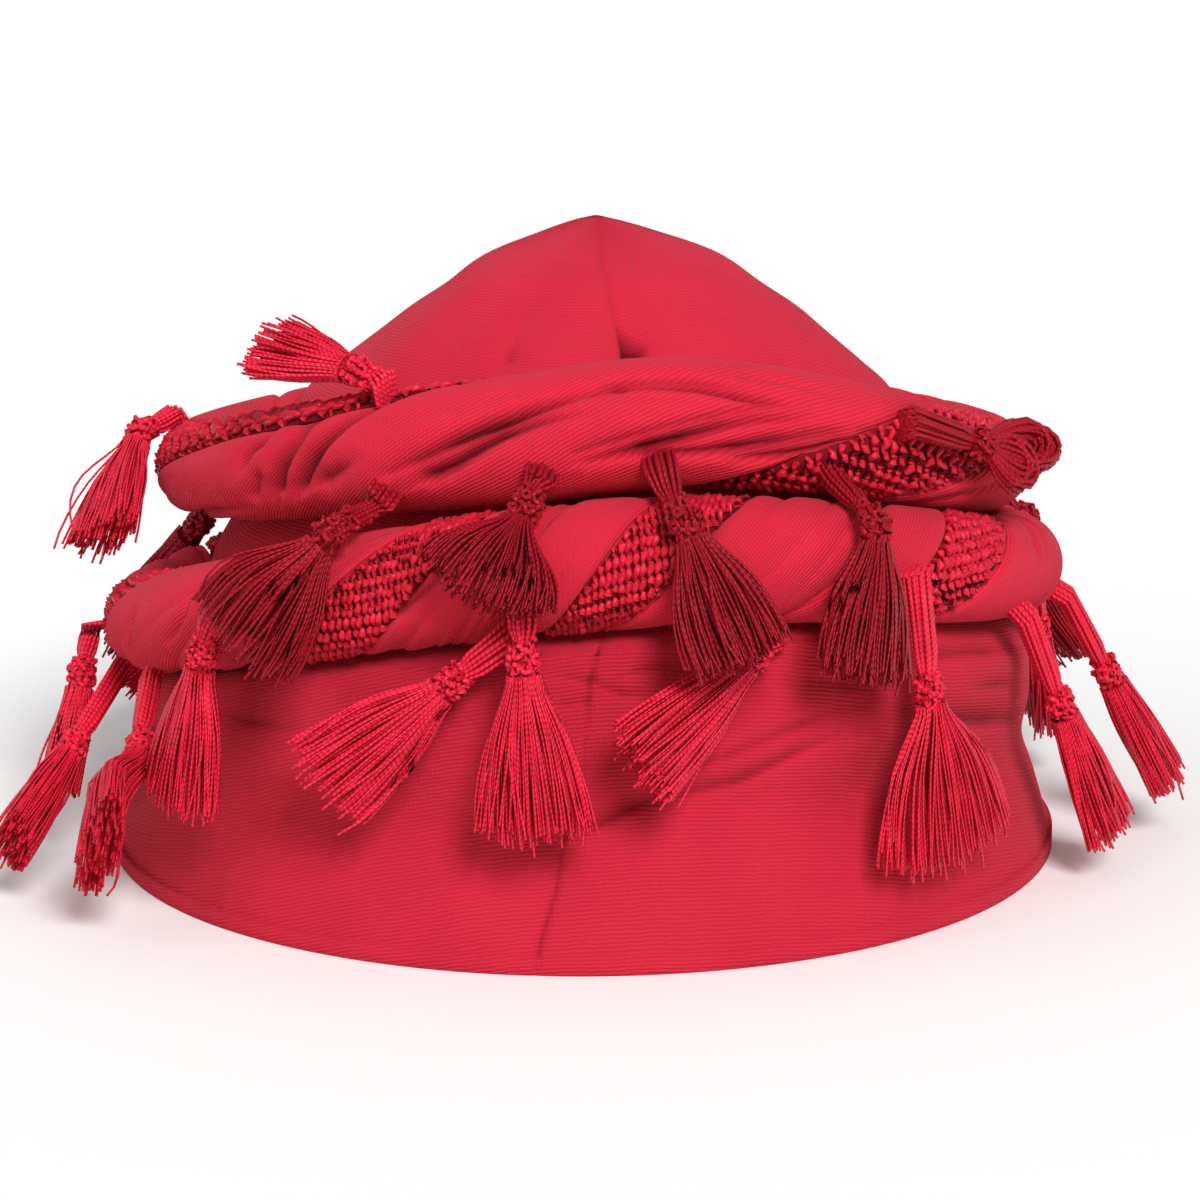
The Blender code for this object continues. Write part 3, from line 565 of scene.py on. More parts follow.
def band_radius(angle, height):
    top = band_top(angle)
    share = height / top
    relief = fold_relief(BAND_FOLDS, angle, share, 1.0, top / RIM_RADIUS)
    steady = np.clip((height - HEM_HEIGHT) / (3 * HEM_HEIGHT), 0, 1)
    steady = steady * np.clip((1 - share) / 0.1, 0, 1)
    return RIM_RADIUS * smooth_line(BAND_LINE, share) + BAND_WALL * relief * steady


# Meshes

def mesh_piece(name, points, faces, material, uv, caps=(), sunk=None):
    """An object with its cloth coordinates and, in "folds", the millimetres that it has sunk, which
    the jersey darkens as painted shade.
    """
    data = bpy.data.meshes.new(name)
    data.from_pydata(points.reshape(-1, 3).tolist(), [], faces.tolist() + list(caps))
    data.shade_smooth()
    data.materials.append(material)
    corners = np.empty(len(data.loops), np.int32)
    data.loops.foreach_get("vertex_index", corners)
    layer = data.uv_layers.new(name="cloth")
    layer.data.foreach_set("uv", uv.reshape(-1, 2)[corners].astype(np.float32).ravel())
    if sunk is not None:
        folds = data.uv_layers.new(name="folds")
        depth = np.stack([sunk.ravel() * MM, 0 * sunk.ravel()], -1)
        folds.data.foreach_set("uv", depth[corners].astype(np.float32).ravel())
    made = bpy.data.objects.new(name, data)
    bpy.context.scene.collection.objects.link(made)
    return made


def grid_faces(rows, columns, ring_rows, ring_columns):
    """Quads of a grid of points, closed along its rows or columns where that is said."""
    i = np.arange(rows if ring_rows else rows - 1)[:, None]
    j = np.arange(columns if ring_columns else columns - 1)[None, :]
    here, below = i * columns, (i + 1) % rows * columns
    beside = (j + 1) % columns
    corners = [here + j, below + j, below + beside, here + beside]
    return np.stack(np.broadcast_arrays(*corners), -1).reshape(-1, 4)


def tubes(paths, radii, sides):
    """Points, quads and thread coordinates of tubes: paths (n, steps, 3), radii (n, steps)."""
    count, steps, _ = paths.shape
    along = unit(np.gradient(paths, axis=1) + 1e-12)
    aside = np.where(np.abs(along[..., 2:]) > 0.8, [1.0, 0, 0], [0, 0, 1.0])
    first = unit(np.cross(along, aside))
    second = np.cross(along, first)
    turn = 2 * np.pi * np.arange(sides) / sides
    ring = first[:, :, None] * np.cos(turn)[:, None] + second[:, :, None] * np.sin(turn)[:, None]
    points = paths[:, :, None] + ring * radii[:, :, None, None]
    one = grid_faces(steps, sides, False, True)
    faces = (one[None] + (np.arange(count) * steps * sides)[:, None, None]).reshape(-1, 4)
    run = np.cumsum(np.linalg.norm(np.diff(paths, axis=1), axis=-1), axis=1)
    length = np.concatenate([np.zeros((count, 1)), run], axis=1)
    around = np.broadcast_to(np.arange(sides) / sides, (count, steps, sides))
    uv = np.stack([around, np.broadcast_to(length[:, :, None] * MM, around.shape)], -1)
    return points.reshape(-1, 3), faces, uv.reshape(-1, 2)


def threads_of(paths, radii, sides, draw):
    """Tubes whose plies each start at a random place."""
    points, faces, uv = tubes(paths, radii, sides)
    offset = np.repeat(draw.uniform(0, 20, len(paths)), len(uv) // len(paths))
    return points, faces, uv + np.stack([0 * offset, offset], -1)


def joined(parts):
    """One list of points, faces and coordinates from several."""
    points, faces, uvs, start = [], [], [], 0
    for part_points, part_faces, part_uv in parts:
        points.append(part_points)
        faces.append(part_faces + start)
        uvs.append(part_uv)
        start += len(part_points)
    return np.concatenate(points), np.concatenate(faces), np.concatenate(uvs)


# Materials

class Nodes:
    """A material's nodes, with short ways to make and join them."""

    def __init__(self, name):
        self.material = bpy.data.materials.new(name)
        self.material.use_nodes = True
        self.tree = self.material.node_tree
        self.shader = self.tree.nodes["Principled BSDF"]

    def add(self, kind, inputs=None, **settings):
        node = self.tree.nodes.new(kind)
        for key, value in settings.items():
            setattr(node, key, value)
        for key, value in (inputs or {}).items():
            if isinstance(value, bpy.types.NodeSocket):
                self.tree.links.new(value, node.inputs[key])
            else:
                node.inputs[key].default_value = value
        return node

    def maths(self, operation, a, b=0.0):
        return self.add("ShaderNodeMath", {0: a, 1: b}, operation=operation).outputs[0]

    def wave(self, value, per_unit):
        """A sine that repeats so many times for each unit of the value."""
        return self.maths("SINE", self.maths("MULTIPLY", value, 2 * math.pi * per_unit))

    def total(self, *terms):
        """The sum of sockets, each times its weight."""
        found = 0.0
        for value, weight in terms:
            found = self.maths("ADD", found, self.maths("MULTIPLY", value, weight))
        return found

    def ramp(self, value, low, high):
        """The value's place between low and high, kept within 0 and 1."""
        return self.add("ShaderNodeMapRange", {0: value, 1: low, 2: high}).outputs[0]

    def noise(self, coords, scale, detail):
        inputs = {"Vector": coords, "Scale": scale, "Detail": detail}
        return self.add("ShaderNodeTexNoise", inputs).outputs[0]

    def uv(self, layer):
        """The two coordinates of a layer."""
        found = self.add("ShaderNodeUVMap", uv_map=layer).outputs[0]
        return self.add("ShaderNodeSeparateXYZ", {0: found}).outputs[:2]

    def mix(self, factor, first, second):
        """A colour between two, each a socket or its red, green and blue."""
        ends = [c if isinstance(c, bpy.types.NodeSocket) else (*c, 1) for c in (first, second)]
        inputs = {0: factor, 6: ends[0], 7: ends[1]}
        return self.add("ShaderNodeMix", inputs, data_type="RGBA").outputs[2]

    def dress(self, colour, bump, settings):
        """Joins the colour and a bump of (strength, distance, height) and sets the shader."""
        inputs = dict(zip(("Strength", "Distance", "Height"), bump))
        normal = self.add("ShaderNodeBump", inputs).outputs[0]
        self.tree.links.new(colour, self.shader.inputs["Base Color"])
        self.tree.links.new(normal, self.shader.inputs["Normal"])
        self.set(settings)
        return self.material

    def set(self, settings):
        for name, value in settings.items():
            self.shader.inputs[name].default_value = value


# Millimetres from rib to rib, and stitches in each millimetre of a rib
RIB_PITCH = 0.78
STITCHES_PER_MM = 1.1
JERSEY_SHINE = {
    "Roughness": 0.9,
    "Specular IOR Level": 0.08,
    "Sheen Weight": 0.15,
    "Sheen Roughness": 0.5,
    "Sheen Tint": (1.0, 0.24, 0.32, 1.0),
}
THREAD_SHINE = {
    "Specular IOR Level": 0.35,
    "Specular Tint": (1.0, 0.42, 0.48, 1.0),
    "Sheen Weight": 0.10,
    "Sheen Tint": (1.0, 0.20, 0.28, 1.0),
}


def jersey(name, light, dark, ribs, shade_start, shade_end):
    """Fine rib jersey: the cloth coordinates are in millimetres, with v across the ribs.
    It has painted shade in its rib grooves and in its creases, darkest where these are as deep as
    the last argument, in millimetres."""
    nodes = Nodes(name)
    coords = nodes.add("ShaderNodeTexCoord").outputs["Object"]
    u, v = nodes.uv("cloth")
    sway = nodes.noise(coords, 60.0, 2.0)
    jog = nodes.noise(coords, 420.0, 2.0)
    fuzz = nodes.noise(coords, 2600.0, 3.0)
    blotch = nodes.ramp(nodes.noise(coords, 45.0, 4.0), 0.3, 0.7)
    rib = nodes.wave(nodes.total((v, 1.0), (sway, 1.2), (jog, 0.45)), 1 / RIB_PITCH)
    # Painted shade in the rib grooves: the colour is darker where the rib wave is low.
    groove_shade = nodes.ramp(rib, -1.0, 0.3)
    tone = nodes.total((groove_shade, 0.60 * ribs), (fuzz, 0.45), (blotch, 0.28))
    tone = nodes.maths("ADD", tone, 0.42 * (1 - ribs))
    # Painted shade in the creases: the colour darkens towards a darker red where the cloth has sunk.
    sunk = nodes.ramp(nodes.uv("folds")[0], shade_start, shade_end)
    shade = nodes.maths("MULTIPLY", sunk, 0.92)
    deep = (dark[0] * 0.28, dark[1] * 0.2, dark[2] * 0.25)
    colour = nodes.mix(shade, nodes.mix(tone, dark, light), deep)
    stitch = nodes.wave(u, STITCHES_PER_MM)
    height = nodes.total((rib, 0.5 * ribs), (fuzz, 0.5), (stitch, 0.12))
    return nodes.dress(colour, (0.6, 0.00038, height), JERSEY_SHINE)


def thread(name, light, dark, twist, roughness):
    """Satin thread: v runs along it in millimetres, and twist is how many plies pass each one."""
    nodes = Nodes(name)
    coords = nodes.add("ShaderNodeTexCoord").outputs["Object"]
    around, along = nodes.uv("cloth")
    # The plies' light and dark stripes are a painted highlight and painted shade along the twist;
    # random patches are lighter too.
    ply = nodes.wave(nodes.total((along, twist), (around, 1.0)), 1)
    blotch = nodes.ramp(nodes.noise(coords, 400.0, 2.0), 0.25, 0.75)
    tone = nodes.total((nodes.ramp(ply, -1.0, 1.0), 0.6), (blotch, 0.4))
    colour = nodes.mix(tone, dark, light)
    return nodes.dress(colour, (0.35, 0.0002, ply), {"Roughness": roughness, **THREAD_SHINE})


CROWN_CLOTH = jersey("crown_jersey", (0.62, 0.020, 0.046), (0.38, 0.009, 0.023), 0.5, 1.3, 3.2)
# The band's jersey is darker than that of the crown and the rolls: painted shade.
SHADED_BAND_CLOTH = jersey("shaded_band_jersey", (0.56, 0.019, 0.042), (0.30, 0.008, 0.019), 0.75, 0.4, 2.0)
ROLL_CLOTH = jersey("roll_jersey", (0.66, 0.021, 0.046), (0.36, 0.008, 0.020), 0.8, 0.9, 3.4)
# Each thread's first colour is its painted highlight and its second its painted shade, mixed along
# the plies.
TRIM_THREAD = thread("trim_thread", (0.72, 0.016, 0.046), (0.40, 0.004, 0.014), 0.45, 0.36)
BRIGHT_THREAD = thread("bright_thread", (0.95, 0.026, 0.072), (0.46, 0.004, 0.016), 0.95, 0.34)
# The dark floss is darker partly in its own colour and partly as painted shade.
DARK_AND_SHADED_FLOSS = thread("dark_and_shaded_floss", (0.40, 0.004, 0.018), (0.21, 0.001, 0.006), 0.80, 0.42)
# The ribbon under the trims is a near black red: painted shade between the trim's knots.
SHADE_UNDER_TRIM = thread("shade_under_trim", (0.20, 0.001, 0.006), (0.12, 0.0005, 0.003), 0.9, 0.8)


# Crown cap and head band

def front_first(columns, crowding):
    """Angles round the hat, closer together in front."""
    share = 2 * np.arange(columns) / columns - 1
    return 180 * (share - crowding * np.sin(np.pi * share) / np.pi)


def crown_surface(angle, below):
    """A point of the crown with its soft folds, at a depth below the peak."""
    height = PEAK_HEIGHT * (1 - below)
    around = crown_radius(height) / CROWN_RADIUS
    relief = fold_relief(CROWN_FOLDS, angle, below, around, PEAK_HEIGHT / CROWN_RADIUS)
    steady = np.clip((height - seam_height(angle)) / LOWER_RADIUS["front"], 0, 1)
    return place(angle, crown_radius(height) + CROWN_WALL * relief * steady, height)


def travel(points):
    """Millimetres passed down each column of a grid of points."""
    steps = np.linalg.norm(np.diff(points, axis=0), axis=-1)
    return np.concatenate([np.zeros((1, points.shape[1])), np.cumsum(steps, axis=0)]) * MM


def cloth_map(angle, radius, outer, inner):
    """Millimetres round the hat, and down the cloth's outside and up its inside."""
    down = np.concatenate([outer, outer[-1] + travel(inner)])
    return stack(np.radians(angle) * radius * MM, down, 0)[..., :2]


def crown_cap():
    """The crown's cloth, closed over its peak and over its hidden foot."""
    columns, rows, inner_rows, crowding = CROWN_GRID.values()
    angle = front_first(columns, crowding)
    foot = (PEAK_HEIGHT - seam_height(angle) - GAP) / PEAK_HEIGHT
    outer = crown_surface(angle, np.linspace(0.004, 1.0, rows)[:, None] * foot)
    line = travel(outer)
    outer, sunk = creased(outer, surface_normals(outer), CROWN_CREASES, crown_surface)
    inner = crown_surface(angle, np.linspace(0.03, 1.0, inner_rows)[:, None] * foot)
    inner, _ = creased(inner, surface_normals(inner), CROWN_CREASES, crown_surface)
    inner = (inner - surface_normals(inner) * CROWN_WALL)[::-1]
    uv = cloth_map(angle, CROWN_RADIUS, line, inner)
    faces = grid_faces(rows + inner_rows, columns, False, True)
    last = (rows + inner_rows - 1) * columns
    caps = [list(range(columns))[::-1], list(range(last, last + columns))]
    points = np.concatenate([outer, inner])
    sunk = np.concatenate([sunk, np.zeros((inner_rows, columns))])
    return mesh_piece("crown_cloth", points, faces, CROWN_CLOTH, uv, caps, sunk)


def band_surface(angle, share):
    """A point of the band at a share of its wall's height."""
    height = share * band_top(angle)
    return place(angle, band_radius(angle, height), height)


def head_band():
    """The band, whose top tucks under the lower roll along a few section angles of it."""
    columns, rows, inner_rows, crowding = BAND_GRID.values()
    angle = front_first(columns, crowding)
    reach = round_hat(angle, LOWER_RADIUS) + 2 * GAP
    shoulder = np.linspace(SHOULDER_START, SHOULDER_END, 8)
    lines = [roll_point("lower", angle, section, reach) for section in shoulder]
    level = np.minimum(lines[0][:, 2], seam_height(angle) - GAP)
    lines[0] = place(angle, crown_radius(level), level)
    for share in np.linspace(0.97, 0.07, rows):
        lines.append(band_surface(angle, share))
    for height in (HEM_HEIGHT, HEM_HEIGHT / 2, HEM_ROUND):
        lines.append(place(angle, RIM_RADIUS, np.full(columns, height)))
    lines.append(place(angle, RIM_RADIUS - HEM_ROUND, np.zeros(columns)))
    outer = np.stack(lines)
    line = travel(outer)
    outer, sunk = creased(outer, surface_normals(outer), BAND_CREASES, band_surface)
    outer[-1, :, 2] = 0.0
    inner = [place(angle, RIM_RADIUS - BAND_WALL + HEM_ROUND, np.zeros(columns))]
    for share in np.linspace(0.02, 0.94, inner_rows):
        height = share * band_top(angle)
        inner.append(place(angle, band_radius(angle, height) - BAND_WALL, height))
    for section in np.linspace(SHOULDER_END, INNER_START, 4):
        inner.append(roll_point("lower", angle, section, reach + BAND_WALL))
    inner = np.stack(inner)
    uv = cloth_map(angle, RIM_RADIUS, line, inner)
    points = np.concatenate([outer, inner])
    faces = grid_faces(len(points), columns, True, True)
    sunk = np.concatenate([sunk, np.zeros((len(inner), columns))])
    return mesh_piece("band_cloth", points, faces, SHADED_BAND_CLOTH, uv, (), sunk)


# Rolls and trims

def gathers(t, share, girth, turns, start):
    """Millimetres that random creases sink the roll's cloth. They run along its twist."""
    draw = np.random.default_rng([SEED, turns])
    sunk = np.zeros_like(t)
    for _ in range(turns * GATHERS_PER_TURN):
        first = start + turns * draw.uniform()
        length = draw.uniform(0.35, 1.1)
        at = draw.uniform(TRIM_SHARE / 2, 1 - TRIM_SHARE / 2)
        drift = draw.uniform(-0.10, 0.10)
        wave, phase = draw.uniform(0.0, 0.03), draw.uniform(0, 6.3)
        depth = draw.uniform(0.5, 1.0) ** 1.5 * 2.4
        wide, narrow = draw.uniform(1.6, 3.0), draw.uniform(0.6, 1.0)
        along = ((t - first) % turns) / length
        line = at + drift * (along - 0.5) + wave * np.sin(5 * along + phase)
        apart = (share - line) * girth
        width = np.where(apart > 0, wide, narrow)
        fade = np.where(along < 1, np.sin(np.pi * np.clip(along, 0, 1)), 0.0)
        sunk = sunk + depth * fade * np.exp(-((np.abs(apart) / width) ** 1.25))
    return np.minimum(sunk, MOST_GATHERED)


def gathered_share(roll, angle):
    """How much the gathers show: less in front, where the creases are those of the tables."""
    if roll == "upper":
        return np.clip((np.abs(angle + 3) - 48) / 14, 0, 1)
    return 0.55 + 0.45 * np.clip((np.abs(angle) - 60) / 20, 0, 1)


def roll_grid(table, turns, steps, around):
    """Turns and shares of the girth on a grid that is even round the hat, but finer in front."""
    fine = table[0][0] + turns * np.arange(20001) / 20000
    start = table[0][1]
    wanted = np.sort((front_first(steps, ROLL_CROWDING) - start) % 360) + start
    turn = np.interp(wanted, twist_angle(table, turns, fine), fine)
    half = TRIM_SHARE / 2
    channel = np.linspace(-half, half, CHANNEL_POINTS)
    cloth = np.linspace(half, 1 - half, around - CHANNEL_POINTS + 2)[1:-1]
    return np.meshgrid(turn, np.concatenate([channel, cloth]), indexing="ij")


def roll_cloth(roll):
    """A roll's cloth with its creases and gathers, sunk into a channel under the trim."""
    creases, table, turns, ribs, steps, around = ROLLS_TO_WIND[roll]
    t, share = roll_grid(table, turns, steps, around)
    angle = twist_angle(table, turns, t)
    full = roll_line(roll, angle)[2]
    girth = 2 * np.pi * full.mean() * MM
    section = 360 * (t + share)
    surface = on_roll(roll, angle, section)
    normals = unit(surface - roll_point(roll, angle, section, 0 * full))
    shown = gathered_share(roll, (angle + 180) % 360 - 180)
    loose = gathers(t, share, girth, turns, table[0][0]) * shown / MM
    deeper = [
        (left, right, [(a, at, depth * CREASE_DEPTH) for a, at, depth in line])
        for left, right, line in creases
    ]
    points = surface - normals * loose[..., None]
    points, sunk = creased(points, normals, deeper, lambda a, at: on_roll(roll, a, at))
    half = TRIM_SHARE / 2
    into = np.minimum(share - half, 1 - half - share) * girth
    edge = TRIM_THICKNESS * 0.8 * np.exp(-(np.maximum(into, 0) / 1.1) ** 1.5)
    rounded = points - normals * edge[..., None]
    channel = surface - normals * (TRIM_THICKNESS + GAP)
    points = np.where((share >= half + 1e-9)[..., None], rounded, channel)
    turned = share
    if ribs:
        first = ribs[0][0]
        turned = share + t - smooth_line(ribs, (angle - first) % 360 + first)
    uv = stack(np.radians(angle) * ROLL_REACH * MM, turned * girth, 0)[..., :2]
    faces = grid_faces(*t.shape, True, True)
    return mesh_piece(f"{roll}_roll_cloth", points, faces, ROLL_CLOTH, uv, (), sunk + loose)


def trim(roll):
    """Cords across the trim, each swelling into knots that sit between those of the next cord."""
    _, table, turns, *_ = ROLLS_TO_WIND[roll]
    knots, pitch = TRIM_CORDS[roll]
    fine = table[0][0] + turns * np.arange(6000) / 6000
    around = twist_angle(table, turns, fine)
    middle = on_roll(roll, around, 360 * fine)
    run = np.linalg.norm(np.diff(middle, axis=0, append=middle[:1]), axis=1)
    length = np.concatenate([[0], np.cumsum(run)])
    rows = int(length[-1] / pitch / 2) * 2
    at = np.interp(np.arange(rows) * length[-1] / rows, length[:-1], fine)
    lane = np.linspace(-0.5, 0.5, knots * 4 + 1)
    odd = (np.arange(rows) % 2)[:, None]
    draw = np.random.default_rng([SEED, 50 + turns])
    jitter = draw.normal(0, 1, (rows, knots + 1, 3))
    jitter = jitter[:, np.clip(((lane + 0.5) * knots + 0.5).astype(int), 0, knots)]
    wave = 2 * np.pi * (lane * knots + odd * 0.5)
    swell = 0.5 + 0.5 * np.cos(wave)
    push = 0.00040 * np.sin(wave + 0.6) + 0.00016 * jitter[..., 0]
    t = at[:, None] + push * (turns / length[-1])
    angle = twist_angle(table, turns, (t - table[0][0]) % turns + table[0][0])
    radii = CORD_RADIUS + KNOT_SWELL * swell ** 1.4 * (1 + 0.14 * jitter[..., 1])
    rise = -0.00135 + 0.00070 * swell + 0.00016 * jitter[..., 2]
    rise = rise - 0.0007 * (np.abs(lane) > 0.49)
    paths = on_roll(roll, angle, 360 * (t + lane * TRIM_SHARE * 0.96), rise)
    points, faces, uv = tubes(paths, radii, 5)
    return mesh_piece(f"{roll}_trim_knots", points, faces, TRIM_THREAD, uv)


def shade_ribbon(roll):
    """A ribbon in the channel, so that no roll shows between the trim's knots; its dark colour is
    painted shade between them.
    """
    _, table, turns, *_ = ROLLS_TO_WIND[roll]
    steps = turns * RIBBON_STEPS
    turn = table[0][0] + np.arange(steps) / RIBBON_STEPS
    share = np.linspace(-TRIM_SHARE / 2, TRIM_SHARE / 2, 6) * 0.98
    t, across = np.meshgrid(turn, share, indexing="ij")
    angle = twist_angle(table, turns, t)
    outer = on_roll(roll, angle, 360 * (t + across), -RIBBON_DEPTH)
    inner = on_roll(roll, angle, 360 * (t + across), -TRIM_THICKNESS)[:, ::-1]
    points = np.concatenate([outer, inner], axis=1)
    faces = grid_faces(*points.shape[:2], True, True)
    uv = np.zeros((*points.shape[:2], 2))
    return mesh_piece(f"{roll}_trim_shade_ribbon", points, faces, SHADE_UNDER_TRIM, uv)


# Tassels

def clear_of_hat(point, half):
    """Whether a ball of this radius is clear of the rolls, the band and the crown."""
    at = math.degrees(math.atan2((point[0] - shift_at(point[2])) * FRONT_TO_BACK, -point[1]))
    for roll in ("lower", "upper"):
        spots, thick = MIDDLE_LINES[roll]
        if (np.linalg.norm(spots - point, axis=1) < thick + half + TASSEL_GAP).any():
            return False
    wall_top = band_top(at)
    apart = math.hypot(point[0] - shift_at(point[2]), point[1] / FRONT_TO_BACK)
    if point[2] < wall_top + half:
        if apart < band_radius(at, max(0.0, min(point[2], wall_top))) + half + TASSEL_GAP:
            return False
    if point[2] > seam_height(at):
        return apart >= crown_radius(min(point[2], PEAK_HEIGHT)) + half + CROWN_WALL
    return True


def push_clear(probes, push, others):
    """The least push that clears the probes of the hat and of the other tassels."""
    spots = np.array([spot for spot, _ in others]).reshape(-1, 3)
    sizes = np.array([size for _, size in others])
    for i in range(MOST_PUSHES):
        ok = True
        for point, half, share in probes:
            moved = point + push * (i * PUSH_STEP * share)
            room = sizes + half + TASSEL_GAP
            near = len(spots) and (np.linalg.norm(spots - moved, axis=1) < room).any()
            if near or not clear_of_hat(moved, half):
                ok = False
                break
        if ok:
            break
    return push * (i * PUSH_STEP)


def tassel_ways(angle, section, heading, lift, root_height, length, half):
    """The way that a tassel is pushed clear, and the way that it hangs above the floor."""
    out = outward(np.float64(angle))
    up = np.array([0, 0, 1.0])
    right = np.array([-out[1], out[0], 0])
    hang = math.radians(max(0.0, min(section, 90.0)))
    push = out * math.cos(hang) + up * math.sin(hang)
    lean = math.radians(heading)
    rise = math.radians(lift)
    along = (right * math.sin(lean) - up * math.cos(lean)) * math.cos(rise) + push * math.sin(rise)
    level = np.array([along[0], along[1], 0])
    level = unit(level) if np.linalg.norm(level) > 0.05 else right
    down = -unit(along)[2]
    room = root_height - FLOOR_CLEARANCE - SKIRT_HALF_DEPTH
    while down > 0 and length * down + half * math.sqrt(1 - down**2) > room:
        down = max(0.0, down - 0.01)
        along = level * math.sqrt(1 - down**2) - up * down
    return push, unit(along)


def tassel_stations(neck, skirt, width):
    """The part, distance from the root, half width and half depth of each station."""
    knot_start = NECK_LENGTH * neck
    knot_end = knot_start + KNOT_LENGTH
    parts = {
        "neck": (0.0, knot_start, NECK_RADIUS, NECK_RADIUS),
        "knot": (knot_start, KNOT_LENGTH, KNOT_RADIUS, KNOT_RADIUS),
        "skirt": (knot_end, SKIRT_LENGTH * skirt, SKIRT_HALF_WIDTH * width, SKIRT_HALF_DEPTH),
    }
    stations = []
    for part, at, wide, deep in TASSEL_LINE:
        start, length, half_width, half_depth = parts[part]
        stations.append((part, start + at * length, wide * half_width, deep * half_depth))
    return stations


def lanes_across(across, wide, deep):
    """Three places across a flat section where balls of its half depth are tried."""
    return [across * (lane * max(0.0, wide - deep)) for lane in (-1, 0, 1)]


def tassel_frames(row, others):
    """The middle, side, thickness way, half width and half depth of each of a tassel's stations."""
    roll, angle, section, heading, lift, neck, skirt, width = row
    stations = tassel_stations(neck, skirt, width)
    thick_roll = float(roll_line(roll, np.float64(angle))[2])
    point = roll_point(roll, np.float64(angle), section, thick_roll + NECK_RADIUS + TASSEL_GAP)
    push, along = tassel_ways(angle, section, heading, lift, point[2], *stations[-1][1:3])
    side = unit(np.cross(push, along))
    passed = 0.0
    placed = []
    for part, distance, wide, deep in stations:
        before = point
        point = point + along * (distance - passed)
        probes = []
        for aside in lanes_across(side, wide, deep):
            probes.append((point + aside, deep, 1.0))
            if distance > 0:
                probes.append(((point + before) / 2 + aside, deep, 0.5))
        if distance > 0:
            point = point + push_clear(probes, push, others)
        passed = distance
        placed.append((point, wide, deep))
    frames = []
    last = len(placed) - 1
    for i, (spot, wide, deep) in enumerate(placed):
        before = placed[max(0, i - 1)][0]
        way = unit(placed[min(last, i + 1)][0] - before)
        across = unit(np.cross(push, way))
        thick = unit(np.cross(way, across))
        frames.append((spot, across, thick, wide, deep))
        for aside in lanes_across(across, wide, deep):
            others.append((spot + aside, deep))
            if i:
                others.append(((spot + before) / 2 + aside, deep))
    return frames


def frames_at(frames, at):
    """Frames between the stations, at places counted in stations."""
    index = np.arange(len(frames))
    made = []
    for k in range(3):
        column = np.stack([f[k] for f in frames])
        axes = [smooth_line(list(zip(index, column[:, c])), at) for c in range(3)]
        made.append(np.stack(axes, -1))
    for k in (3, 4):
        made.append(smooth_line(list(zip(index, [f[k] for f in frames])), at))
    return made


def beside(spot, across, thick, aside, inwards):
    """Places so far aside and inwards from points of a tassel's middle line."""
    return spot + across * aside[..., None] + thick * inwards[..., None]


def skirt(frames, kind, draw):
    """Layers of threads that fan out from the knot, a few of them stray."""
    layers, lanes, steps, thickness, wander, swell = SKIRTS[kind]
    threads = layers * lanes
    layer = np.repeat(np.arange(layers), lanes)
    lane = np.tile(np.linspace(-1, 1, lanes), layers)
    sideways = lane + draw.normal(0, 0.8 / lanes, threads) + (layer % 2) / lanes
    bulge = np.sqrt(np.clip(1.02 - sideways**2, 0.03, 1))
    inwards = (2 * layer / (layers - 1) - 1 + draw.normal(0, 0.12, threads)) * bulge
    tip, half_width = frames[SKIRT_END][0], frames[SKIRT_END][3]
    spread = np.clip(half_width / np.linalg.norm(tip - frames[KNOT_END][0]), 0, 0.8)
    length = np.sqrt(1 - 0.75 * (spread * sideways) ** 2)
    length = length * (1.05 + draw.normal(0, 0.035, threads))
    strays = draw.uniform(size=threads) < 0.04
    length = length + strays * draw.uniform(0.0, 0.10, threads)
    drawn = np.linspace(0, 1, steps)[None, :] * length[:, None]
    grow = KNOT_END - 0.1 + 2.1 * drawn
    spot, across, thick, wide, deep = frames_at(frames, np.minimum(grow, float(SKIRT_END)))
    beyond = np.maximum(grow - SKIRT_END, 0)[..., None] * (tip - frames[SKIRT_MIDDLE][0])
    sway = draw.normal(0, 1, (threads, 4))
    wander = wander * np.where(strays, 2.6, 1.0)[:, None]
    curl = wander * sway[:, :1] * np.sin(drawn * 3.4 + sway[:, 1:2]) * drawn
    curl_deep = wander * sway[:, 2:3] * np.sin(drawn * 3.0 + sway[:, 3:4]) * drawn
    puff = 1 + swell * np.sin(np.pi * np.clip(drawn, 0, 1))
    aside = sideways[:, None] * wide * puff + curl
    inwards = inwards[:, None] * deep * 0.85 * puff + curl_deep
    paths = beside(spot + beyond, across, thick, aside, inwards)
    paths[..., 2] = np.maximum(paths[..., 2], LOWEST_THREAD)
    return threads_of(paths, thickness * np.where(drawn < 0.2, 0.9, 1.0), 3, draw)


def loops(frames, draw):
    """Two thick loops of cords, folded back into the knot."""
    root = frames[KNOT_MIDDLE][0]
    reach = frames[SKIRT_END][0] - root
    _, across, thick, _, _ = frames_at(frames, np.float64(SKIRT_MIDDLE))
    turn = np.linspace(0, np.pi, 13)[None, :]
    which = (np.arange(LOOP_CORDS) % 2)[:, None]
    shift = draw.normal(0, 1, (LOOP_CORDS, 3))
    out = np.where(which, 0.66, 1.02) * (1 + 0.10 * shift[:, :1])
    open_wide = np.where(which, -1.0, 1.0) * 0.0036 * (1 + 0.28 * shift[:, 1:2])
    middle = np.where(which, -0.0030, 0.0026)
    aside = middle * np.sin(turn) + open_wide * np.sin(2 * turn)
    inwards = 0.0014 * np.clip(shift[:, 2:], -2, 2) * np.sin(turn) + 0.0008
    paths = root + reach * (out * np.sin(turn))[..., None]
    paths = beside(paths, across, thick, aside, inwards)
    return threads_of(paths, np.full(paths.shape[:2], LOOP_CORD), 5, draw)


